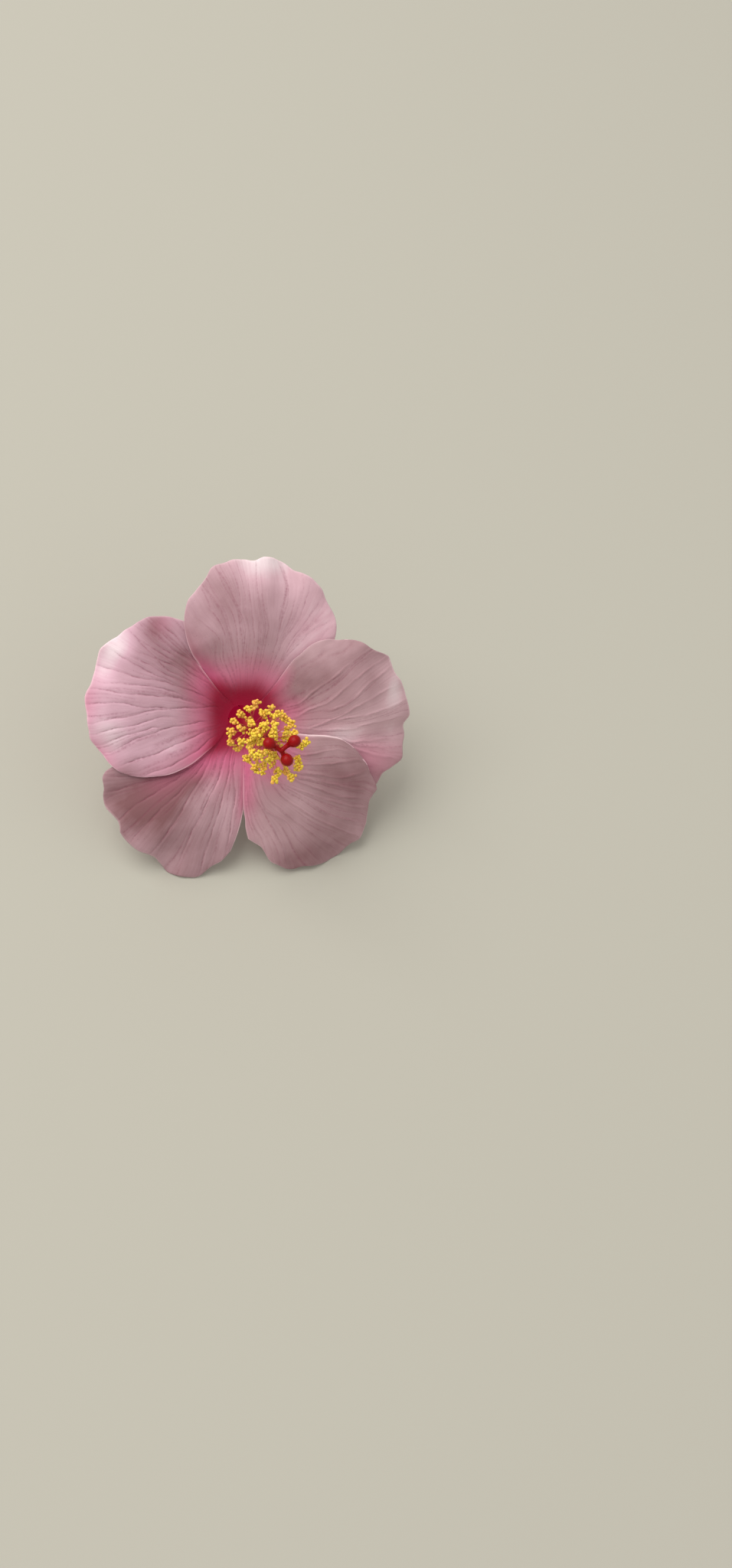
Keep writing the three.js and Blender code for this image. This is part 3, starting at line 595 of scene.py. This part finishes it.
def fine_vein_marks(petal, fan, v, across):
    """How strongly each point lies on one of the short hair-thin veins, scattered between the main
    ones and following them."""
    luck = random.Random(petal["node"])
    spaces = len(petal["veins"]) + 1
    marks = np.zeros_like(fan)
    for _ in range(FINE_VEINS):
        at, start, length = luck.uniform(0.2, spaces - 0.2), luck.uniform(0.3, 0.85), luck.uniform(0.12, 0.4)
        strength, end = luck.uniform(0.2, 0.8), start + length
        aside = (fan - at - 0.05 * np.sin(25 * v + 40 * at)) * across / spaces
        shown = ramp(start - 0.05, start + 0.05, v) * (1 - ramp(end - 0.05, end + 0.05, v))
        marks = np.maximum(marks, strength * shown * np.exp(-(aside / FINE_VEIN_WIDTH) ** 2))
    return marks


def petal_layout(petal, u, v):
    """A point's distance along the funnel, radius, direction, distance to the margin, and the blade's
    width there."""
    right_end, left_end = petal["rim"][0], petal["rim"][-1]
    on_right, on_left = radius_at(v * along_at(right_end[1])), radius_at(v * along_at(left_end[1]))
    right, left = smooth(petal["right"], on_right), smooth(petal["left"], on_left)
    direction = right + (left - right) * u
    rim_direction = right_end[0] + (left_end[0] - right_end[0]) * u
    frill = waves(rim_direction, (43, 0, 0.1), (71, 50, 0.07)) * np.sin(np.pi * u) ** 0.5
    rim_along = along_at(smooth(petal["rim"], rim_direction) - RIM_TRIM + frill)
    r = radius_at(v * rim_along)
    across = np.radians(left - right) * r
    margin = np.minimum(np.minimum(u, 1 - u) * across, (1 - v) * rim_along)
    return v * rim_along, r, direction, margin, across


def petal_surface(petal):
    def surface(u, v):
        along, r, direction, margin, across = petal_layout(petal, u, v)
        margins = (smooth(petal["right_lift"], r) * ramp(0.5, 0.85, 1 - u)
                   + smooth(petal["left_lift"], r) * ramp(0.5, 0.85, u))
        parting = 0.4 * ramp(5, 8.5, r) + 0.6 * ramp(14, 26, r)
        lift = OVERLAP_LIFT * margins * parting + shared_relief(r, direction)
        for at, width, start, depth in petal["folds"]:
            lift = lift + depth * np.exp(-((direction - at) / width) ** 2) * ramp(start, 64, r)
        narrow = vein_marks(petal, r, direction, VEIN_WIDTH)
        broad = vein_marks(petal, r, direction, VEIN_SWELLING)
        lift = lift + petal["vein_height"] * (narrow + 0.35 * broad)
        fan = vein_fan(petal, r, direction)
        lift = lift - FINE_VEIN_DEPTH * fine_vein_marks(petal, fan, v, across)
        ruffle = waves(direction, (31, 0, 1), (53, 30, 0.7))
        lift = lift + RIM_RUFFLE * ruffle * np.exp(-margin / 4) * ramp(30, 48, r)
        return on_funnel(along, direction, lift)
    return surface


def one_minus(tree, value):
    return plus(tree, 1, value, operation="SUBTRACT")


def clamped(tree, value):
    return node(tree, "ShaderNodeClamp", {"Value": value}).outputs[0]


# One finish for all five: mauve-pink, paler and duskier in random blotches and in painted highlights
# and painted shade, pink towards the throat and crimson in it, darker deep in the funnel with painted
# shade and lit there by a painted glow, with streaks along the veins, a pale rim that carries painted
# rim highlights, and a few specks.
petal_finish, skin, petal_shader = new_finish("petal_skin", 0.6, sheen=0.15)
petal_shader.inputs["Sheen Tint"].default_value = tint(240, 176, 202)
streak_place = node(skin, "ShaderNodeCombineXYZ", {0: painted(skin, "fan"), 1: painted(skin, "along")})
streak_place = node(skin, "ShaderNodeMapping", {"Vector": streak_place.outputs[0], "Scale": (6, 3.2, 1)})
streaks = node(skin, "ShaderNodeTexNoise", {
    "Vector": streak_place.outputs[0], "Scale": 1, "Detail": 3, "Roughness": 0.65,
}).outputs["Fac"]
streak_swing = plus(skin, streaks, -0.5)
petal_tissue = mottled(skin, 900)
blotch_swing = plus(skin, petal_tissue["Blotch"], -0.5)
tone = plus(skin, painted(skin, "tone"), times(skin, streak_swing, 0.3), times(skin, blotch_swing, 0.5))
colour = blend_colours(skin, painted(skin, "warmth"), tint(196, 157, 171), tint(191, 160, 160))
# Painted shade: a tone below 0 blends towards the dusky colour. Painted highlight: a tone above 0 blends
# towards the pale one. Random blotches and streaks ride on both.
colour = blend_colours(skin, clamped(skin, times(skin, tone, -1)), colour, tint(116, 77, 80))
colour = blend_colours(skin, clamped(skin, tone), colour, tint(243, 236, 237))
colour = blend_colours(skin, painted(skin, "blush"), colour, tint(202, 94, 134))
back = painted(skin, "back")
throat = times(skin, painted(skin, "throat"), one_minus(skin, times(skin, back, 0.45)))
throat_edge = times(skin, throat, one_minus(skin, throat), 4)
throat_mask = clamped(skin, plus(skin, throat, times(skin, throat_edge, streak_swing, 0.6)))
colour = blend_colours(skin, throat_mask, colour, tint(150, 10, 52))
# Deep in the funnel the throat's own crimson darkens further into painted shade, where the narrow funnel lies
# in shadow.
colour = blend_colours(skin, times(skin, painted(skin, "deep"), 0.9), colour, tint(56, 0, 12))
beads = times(skin, plus(skin, petal_tissue["Grain"], -0.28), 3.4)
vein_mask = clamped(skin, times(skin, painted(skin, "vein"), beads))
colour = blend_colours(skin, vein_mask, colour, tint(118, 52, 72))
# The pale rim: partly the margin's own paler colour and partly a painted rim highlight where the thin edge
# catches the light.
colour = blend_colours(skin, painted(skin, "rim"), colour, tint(244, 216, 220))
speck_cells = node(skin, "ShaderNodeTexVoronoi", {
    "Vector": node(skin, "ShaderNodeTexCoord").outputs["Object"], "Scale": 300,
})
speck_mask = node(skin, "ShaderNodeMapRange", {
    "Value": speck_cells.outputs["Distance"], "From Min": 0.02, "From Max": 0.06, "To Min": 0.4, "To Max": 0,
}).outputs[0]
colour = blend_colours(skin, speck_mask, colour, tint(84, 40, 56))
colour = blend_colours(skin, times(skin, back, 0.5), colour, tint(246, 206, 218))
relief = plus(skin, times(skin, streaks, 0.8), petal_tissue["Grain"])
coloured_and_bumped(skin, petal_shader, colour, relief, 0.00018, 0.4)


def lit_deep(tree, shader, colour):
    """A faint painted glow where deep is painted, which stands in for the light that comes into the throat
    through the petals.
    """
    glow = blend_colours(tree, painted(tree, "deep"), tint(0, 0, 0), colour)
    tree.links.new(glow, shader.inputs["Emission Color"])
    shader.inputs["Emission Strength"].default_value = 1


lit_deep(skin, petal_shader, tint(130, 8, 38))


def patches(places, r, direction):
    """Sums soft patches, each [direction, radius, half width, half depth, strength]."""
    total = np.zeros_like(r)
    for at, reach, wide, deep, strength in places:
        total += strength * np.exp(-((direction - at) / wide) ** 2 - ((r - reach) / deep) ** 2)
    return total


for petal in PETALS:
    blade = laid_sheet(petal["name"], PETAL_COLUMNS, PETAL_ROWS, petal_surface(petal))
    grid = np.meshgrid(np.linspace(0, 1, PETAL_COLUMNS + 1), np.linspace(0, 1, PETAL_ROWS + 1))
    u, v = grid[0].ravel(), grid[1].ravel()
    _, r, direction, margin, across = petal_layout(petal, u, v)
    throat_reach = linear(petal["throat"], direction)
    blush = 0.7 * (1 - ramp(throat_reach + 1, throat_reach + 16, r))
    fan = vein_fan(petal, r, direction)
    main_veins = petal["vein_colour"] * vein_marks(petal, r, direction, VEIN_COLOUR_WIDTH)
    thin_veins = 0.5 * fine_vein_marks(petal, fan, v, across)
    # A pale band along the margins, partly their own colour and partly a painted rim highlight, with more
    # painted highlight in each petal's edge patches.
    pale_and_highlit_edge = 0.35 * (0.5 + waves(direction, (7, 0, 0.25), (17, 60, 0.25))) * ramp(14, 24, r)
    pale_and_highlit_edge = np.minimum(pale_and_highlit_edge + patches(petal["edge_highlights"], r, direction), 1)
    paint(blade, "throat", 1 - ramp(throat_reach - 4, throat_reach + 6, r))
    paint(blade, "blush", blush + patches(petal["pinks"], r, direction))
    # Tone: painted highlights and painted shade in soft patches over each blade's ground, among them the left
    # petal's painted shadow on the lower left one
    paint(blade, "tone", petal["ground"] + patches(petal["tone_and_light_patches"], r, direction))
    paint(blade, "warmth", np.full_like(r, petal["warmth"]))
    paint(blade, "fan", fan)
    paint(blade, "along", v)
    paint(blade, "vein", np.maximum(main_veins, thin_veins))
    paint(blade, "rim", pale_and_highlit_edge * np.exp(-(margin / 0.4) ** 2))
    body = blade.vertex_groups.new(name="body")
    step = np.minimum(margin // TAPER_STEP, len(TAPER_SHARES) - 1)
    for i, share in enumerate(TAPER_SHARES):
        body.add(np.nonzero(step == i)[0].tolist(), share, "REPLACE")
    thickened(blade, PETAL_THICKNESS, mask="body")
    is_back = np.arange(len(blade.data.vertices)) < len(u)
    paint(blade, "back", is_back)
    # Deep: where the painted shade and the painted glow go, on the front of each blade, strongest at the foot
    # of the funnel.
    paint(blade, "deep", np.where(is_back, 0, np.tile(1 - ramp(5, 16, r), 2)))
    blade.data.materials.append(petal_finish)
    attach(blade, "root")
    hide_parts(petal["node"])

# ---------- staminal column
# A thin tube of joined filaments stands on the claws round the style. Its free filaments spread like
# a brush, and each ends in a bunch of round, powdery yellow anthers.
COLUMN_BEND = 3.6  # how far the column has bent aside at this height, and which way
BEND_HEIGHT = 50
BEND_HEADING = math.radians(-38)
COLUMN_TOP = 45
COLUMN_RIBS = 5
COLUMN_OUTLINE = [  # [share of the way over the wall, radius, height], up the outside, down the inside
    [0, 2.95, CLAW_FOOT], [0.06, 2.95, -11], [0.12, 1.9, -7], [0.2, 1.65, 0], [0.34, 1.5, 20],
    [0.48, 1.3, 36], [0.53, 1.05, COLUMN_TOP - 0.2], [0.545, 0.8, COLUMN_TOP], [0.56, 0.58, COLUMN_TOP - 0.2],
    [0.64, 0.7, 36], [0.74, 0.9, 20], [0.84, 0.95, 0], [0.9, 1.15, -7], [0.95, 2.25, -11],
    [0.99, 2.25, CLAW_FOOT], [1, 2.95, CLAW_FOOT],
]
COLUMN_OUTSIDE = [[-7, 1.9], [0, 1.65], [20, 1.5], [36, 1.3], [45, 1.15]]  # [height, radius]
FILAMENTS = [  # [height of the anthers, heading, reach from the column's middle]
    [21, 93, 10], [28, 117, 11], [22, 62, 10], [25, 136, 10], [27, 154, 11.5], [27, 174, 11.5],
    [29, 158, 8.5], [34, 136, 8.5], [39.5, 141, 7], [44, 150, 8.5], [42, 118, 8], [46, 100, 8.5],
    [26, 33, 10.5], [42, 53, 9.5], [32, 12, 8], [30, -8, 10], [44, 34, 8], [45, 8, 10.5],
    [22, -140, 9.5], [34, -178, 9.5], [40, 175, 8.5], [45, -172, 9], [32, -132, 10], [27, -100, 9],
    [31, -91, 10.5], [38, -104, 11], [35, -80, 9], [28, -61, 9], [43, -83, 9.5], [46, -95, 11],
    [40, -62, 11.5], [46, -66, 11.5], [39, -35, 11.5], [44, -45, 11], [32, 96, 9], [33.5, 75, 8.5],
    [24, -162, 11],
]
FRONT_FILAMENTS = [  # the same, for those that crowd in front of the tube and fill the brush's gaps
    [21.5, 128, 5], [31, 160, 5], [35.5, 108, 5], [37.5, 152, 5], [38.5, 172, 6.5], [42, 164, 5],
    [43.5, 104, 5], [40, 78, 11], [40.5, -6, 10], [34.5, -114, 11], [46, -156, 3.5], [47, -164, 8],
    [48, -136, 5], [48.5, -168, 6.5], [34, -160, 6.5], [42.5, -84, 3.5], [40, 20, 5], [36, -20, 3.5],
    [47, 110, 5.5],
]
FILAMENT_RISE = 7
FILAMENT_RADII = [[0, 0.26], [0.3, 0.17], [1, 0.14]]  # [share of the way along it, radius]
STRAND_CAP = 0.04  # the share of a strand's rows that closes either end
ASKEW = (0.31, 0.2, 0.93)  # a direction that no strand runs in
ANTHER_RADIUS = 0.66
ANTHER_SHAPE = (1.02, 0.98, 0.88)
FURROW_WIDTH = 0.35
FURROW_DEPTH = 0.14
BUNCH_SIZES = (10, 11, 12, 13, 15, 17)
BUNCH_TRIES = 9
BUNCH_SPACING = (0.86, 1.2)
BUNCH_CLEARANCE = 0.84  # between the middles of two anthers


def on_column(height, heading, reach):
    """A point at a height, this far from the middle of the bent column, in a heading in degrees."""
    share = np.maximum(0, (np.asarray(height, float) - CLAW_FOOT) / (BEND_HEIGHT - CLAW_FOOT))
    shift = COLUMN_BEND * share ** 2
    across = shift * math.cos(BEND_HEADING) + reach * np.cos(np.radians(heading))
    upward = shift * math.sin(BEND_HEADING) + reach * np.sin(np.radians(heading))
    return np.stack([across, upward, height + 0 * across], -1)


def column_surface(u, v):
    radius, height = radius_and_height(COLUMN_OUTLINE, v)
    return on_column(height, 360 * u, radius * (1 + 0.03 * np.cos(COLUMN_RIBS * 2 * np.pi * u)))


def unit(vectors):
    return vectors / np.linalg.norm(vectors, axis=-1, keepdims=True)


def curve(start, elbow, end):
    """A path that leaves the start towards the elbow and reaches the end from it."""
    def path(t):
        t = t[:, None]
        return start * (1 - t) ** 2 + 2 * elbow * t * (1 - t) + end * t ** 2
    return path


def strand(name, path, radii, columns, rows):
    """A closed limb of round section along path(t), which gives points for an array of t."""
    def surface(u, v):
        t = np.clip((v - STRAND_CAP) / (1 - 2 * STRAND_CAP), 0, 1)
        step = unit(path(np.minimum(t + 0.01, 1)) - path(np.maximum(t - 0.01, 0)))
        side = unit(np.cross(step, ASKEW))
        turn = 2 * np.pi * u[:, None]
        size = linear(radii, t) * np.where((v <= 0) | (v >= 1), 0, 1)
        return path(t) + size[:, None] * (side * np.cos(turn) + np.cross(step, side) * np.sin(turn))
    return closed_skin(name, columns, rows, surface)


column_finish, flesh, flesh_shader = new_finish("filament_flesh", 0.45)
flesh_tissue = mottled(flesh, 1500)
flesh_colour = blend_colours(flesh, painted(flesh, "tip"), tint(176, 44, 56), tint(236, 170, 96))
flesh_blotch = times(flesh, flesh_tissue["Blotch"], 0.4)
flesh_colour = blend_colours(flesh, flesh_blotch, flesh_colour, tint(150, 34, 48))
# Painted shade: the tube darkens towards its foot, down in the throat where deep is painted.
flesh_colour = blend_colours(flesh, painted(flesh, "deep"), flesh_colour, tint(62, 0, 14))
coloured_and_bumped(flesh, flesh_shader, flesh_colour, flesh_tissue["Grain"], 0.0001, 0.5)
lit_deep(flesh, flesh_shader, tint(130, 10, 38))

tube = closed_skin("staminal_tube", 30, 120, column_surface)
tube_height = bloom_points(tube)[:, 2]
paint(tube, "tip", np.full_like(tube_height, 0.1))
# Deep on the tube: painted shade and painted glow, growing towards its foot in the throat.
paint(tube, "deep", 1 - ramp(0, 20, tube_height))
tube.data.materials.append(column_finish)
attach(tube, "root")
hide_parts("staminal_column")

anther_luck = random.Random(11)


def random_vector():
    return np.array([anther_luck.gauss(0, 1) for _ in range(3)])


def bunch():
    """Offsets of the anthers of one bunch from the filament's end, each as near to it as it can be."""
    offsets = [np.zeros(3)]
    for _ in range(anther_luck.choice(BUNCH_SIZES)):
        nearest = None
        for _ in range(BUNCH_TRIES):
            aside = unit(random_vector())
            guess = anther_luck.choice(offsets) + anther_luck.uniform(*BUNCH_SPACING) * aside
            clear = min(np.linalg.norm(guess - other) for other in offsets) > BUNCH_CLEARANCE
            if clear and (nearest is None or np.linalg.norm(guess) < np.linalg.norm(nearest)):
                nearest = guess
        if nearest is not None:
            offsets.append(nearest)
    return offsets


filaments = []
anther_places = []
for i, (height, heading, reach) in enumerate(FILAMENTS + FRONT_FILAMENTS):
    foot = height - FILAMENT_RISE
    start = on_column(foot, heading, linear(COLUMN_OUTSIDE, foot) - 0.3)
    end = on_column(height, heading, reach)
    middle = (start + end) / 2 + np.array([0, 0, anther_luck.uniform(-1.2, 0.4)])
    filament = strand(f"filament_{i}", curve(start, middle, end), FILAMENT_RADII, 7, 12)
    way_out = np.linalg.norm(bloom_points(filament) - start, axis=1) / np.linalg.norm(end - start)
    paint(filament, "tip", ramp(0.1, 1.1, way_out))
    filaments.append(filament)
    anther_places += [(end + offset, height) for offset in bunch()]
filaments = joined("filaments", filaments)
filaments.data.materials.append(column_finish)
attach(filaments, "root")

# One anther: a small ball flattened a little, with the seam where it splits to shed its pollen.
pollen_finish, pollen, pollen_shader = new_finish("pollen_yellow", 0.45, sheen=0.05)
pollen_tissue = mottled(pollen, 3500)
pollen_colour = blend_colours(pollen, painted(pollen, "tone"), tint(222, 192, 28), tint(228, 158, 66))
pollen_colour = blend_colours(pollen, painted(pollen, "seam"), pollen_colour, tint(150, 94, 12))
# Pale yellow flecks of pollen dust, which also stand in for tiny painted glints.
pollen_dust_and_glints = times(pollen, pollen_tissue["Grain"], 0.3)
pollen_colour = blend_colours(pollen, pollen_dust_and_glints, pollen_colour, tint(250, 232, 120))
coloured_and_bumped(pollen, pollen_shader, pollen_colour, pollen_tissue["Grain"], 0.00012, 0.8)

bpy.ops.object.select_all(action="DESELECT")
bpy.ops.mesh.primitive_uv_sphere_add(segments=8, ring_count=6, radius=1)
anther = bpy.context.object
anther.name = "anther_0"
ball = np.array([v.co for v in anther.data.vertices])
furrow = np.exp(-(ball[:, 0] / FURROW_WIDTH) ** 2) * np.clip(ball[:, 2], 0, 1)
ball = ball * ANTHER_SHAPE * (1 - FURROW_DEPTH * furrow)[:, None]
paint(anther, "seam", 0.6 * furrow)
paint(anther, "tone", np.zeros(len(ball)))
bpy.ops.object.shade_smooth()
anthers = [anther]
for i in range(1, len(anther_places)):
    copy = bpy.data.objects.new(f"anther_{i}", anther.data.copy())
    bpy.context.scene.collection.objects.link(copy)
    anthers.append(copy)
for copy, (place, height) in zip(anthers, anther_places):
    turn = np.linalg.qr(np.array([random_vector() for _ in range(3)]))[0]
    turn = turn * np.linalg.det(turn)
    size = ANTHER_RADIUS * anther_luck.uniform(0.76, 1.08)
    copy.data.vertices.foreach_set("co", placed(ball @ turn.T * size + place).ravel())
    orange = min(1, anther_luck.random() ** 3 + 0.45 * ramp(40, 20, height))
    copy.data.attributes["tone"].data.foreach_set("value", [orange] * len(ball))
    copy.data.update()
anthers = joined("anthers", anthers)
anthers.data.materials.append(pollen_finish)
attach(anthers, "root")

# ---------- pistil
# The ovary sits in the foot of the column. Its long style runs up inside and forks above the tube
# into branches, each ending in a round velvety deep-red stigma.
OVARY_RADIUS = 1.9
STYLE_RADIUS = 0.48
STYLE_FORK = 50
STYLE_RADII = [  # [share of the way up, radius]
    [0, 1.3], [0.025, OVARY_RADIUS], [0.05, OVARY_RADIUS - 0.15], [0.073, 0.9], [0.1, STYLE_RADIUS],
    [0.97, STYLE_RADIUS], [1, 0.75],
]
STIGMAS = [[148, 51.2, 6], [45, 51.8, 5.6], [-60, 50.6, 3.7]]  # [heading, height, reach] of a knob
STIGMA_RADIUS = 2.1
NECK_RADII = [[0, 0.95], [0.25, 0.8], [0.6, 0.86], [0.9, 1.2]]  # [share of the way to the knob, radius]
KNOB_RINGS = 15

velvet_finish, velvet, velvet_shader = new_finish("velvet_red", 0.34)
velvet_shader.inputs["Specular IOR Level"].default_value = 0.16
velvet_tissue = mottled(velvet, 3200)
velvet_colour = blend_colours(velvet, velvet_tissue["Grain"], tint(92, 0, 3), tint(166, 5, 8))
coloured_and_bumped(velvet, velvet_shader, velvet_colour, velvet_tissue["Grain"], 0.00015, 0.6)


def style_path(t):
    return on_column(CLAW_FOOT + t * (STYLE_FORK - CLAW_FOOT), 0, 0 * t)


fork = on_column(STYLE_FORK - 0.6, 0, 0)


def stigma(name, heading, height, reach):
    """A curved branch from the fork, with the knob that ends it."""
    knob = on_column(height, heading, reach)
    elbow = fork + 0.5 * (knob - fork) + np.array([0, 0, -0.8])
    outward = unit(knob - elbow)
    base = knob - STIGMA_RADIUS * outward
    neck = np.linalg.norm(base - fork)
    length = neck + 2 * STIGMA_RADIUS
    neck_path = curve(fork, elbow, base)

    def path(t):
        past_neck = np.maximum(t * length - neck, 0)
        return neck_path(np.minimum(t * length / neck, 1)) + past_neck[:, None] * outward
    radii = [[share * neck / length, radius] for share, radius in NECK_RADII]
    for ring in np.arange(1, KNOB_RINGS + 1) / KNOB_RINGS:
        around = math.pi * (0.2 + 0.8 * ring)
        along_knob = STIGMA_RADIUS * (1 - math.cos(around))
        collar = 0.4 * (1 - ring) ** 4
        radii.append([(neck + along_knob) / length, STIGMA_RADIUS * max(0.03, math.sin(around)) + collar])
    return strand(name, path, radii, 28, 60)


limbs = [strand("style", style_path, STYLE_RADII, 16, 120)]
for i, (heading, height, reach) in enumerate(STIGMAS):
    limbs.append(stigma(f"stigma_{i}", heading, height, reach))
pistil = joined("style_and_stigmas", limbs)
pistil.data.materials.append(velvet_finish)
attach(pistil, "root")
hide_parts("pistil")

# ---------- floor, light and camera
# A plain pale floor under soft studio light from the upper left, seen as in the photograph: down
# into the bloom, from the front.
FLOOR_SIZE = 12  # in metres, as the lamp's size and place are
LAMP_SIZE = 2.2
LAMP_WATTS = 72
LAMP_PLACE = (-0.9, 1.5, 1.9)  # right, up and back from the bloom, as the camera sees it
LAMP_TINT = (1, 0.985, 0.96)
SKY_TINT = (1, 0.985, 0.95, 1)
SKY_STRENGTH = 0.75
CAMERA_RIGHT = np.array([0.95533, 0.03459, 0.29351])  # the camera's axes in the bloom's own frame
CAMERA_UP = np.array([0.03252, 0.97479, -0.22075])
CAMERA_BACK = np.array([-0.29374, 0.22043, 0.93012])
CAMERA_DISTANCE = 650
LENS = 40.09
SENSOR = 36
IMAGE_HEIGHT = 2048
IMAGE_MIDDLE = (478, 1024)
THROAT_PIXEL = (315, 938)

bpy.ops.object.select_all(action="DESELECT")
bpy.ops.mesh.primitive_plane_add(size=FLOOR_SIZE)
floor = bpy.context.object
floor.name = "floor"
floor_finish, _, floor_shader = new_finish("pale_floor", 0.9)
floor_shader.inputs["Base Color"].default_value = tint(168, 165, 154)
floor.data.materials.append(floor_finish)

pixel = CAMERA_DISTANCE / (LENS / SENSOR * IMAGE_HEIGHT)  # in millimetres, at the bloom
aside = (IMAGE_MIDDLE[0] - THROAT_PIXEL[0]) * pixel
above = (THROAT_PIXEL[1] - IMAGE_MIDDLE[1]) * pixel
stand = placed(aside * CAMERA_RIGHT + above * CAMERA_UP + CAMERA_DISTANCE * CAMERA_BACK)
camera_turn = BLOOM_TURN @ np.stack([CAMERA_RIGHT, CAMERA_UP, CAMERA_BACK], 1)
camera = bpy.data.objects.new("camera", bpy.data.cameras.new("camera"))
bpy.context.scene.collection.objects.link(camera)
camera.data.lens = LENS
camera.data.sensor_width = SENSOR
camera.matrix_world = Matrix([[*camera_turn[i], stand[i]] for i in range(3)] + [[0, 0, 0, 1]])
bpy.context.scene.camera = camera

lamp = bpy.data.objects.new("window", bpy.data.lights.new("window", "AREA"))
bpy.context.scene.collection.objects.link(lamp)
away = camera_turn @ np.array(LAMP_PLACE)
lamp.location = placed([0, 0, 0]) + away
lamp.rotation_mode = "QUATERNION"
lamp.rotation_quaternion = (-Vector(away)).to_track_quat("-Z", "Y")
lamp.data.size = LAMP_SIZE
lamp.data.energy = LAMP_WATTS
lamp.data.color = LAMP_TINT
world = bpy.data.worlds.new("studio")
world.use_nodes = True
world.node_tree.nodes["Background"].inputs["Color"].default_value = SKY_TINT
world.node_tree.nodes["Background"].inputs["Strength"].default_value = SKY_STRENGTH
bpy.context.scene.world = world
bpy.context.scene.view_settings.view_transform = "Standard"
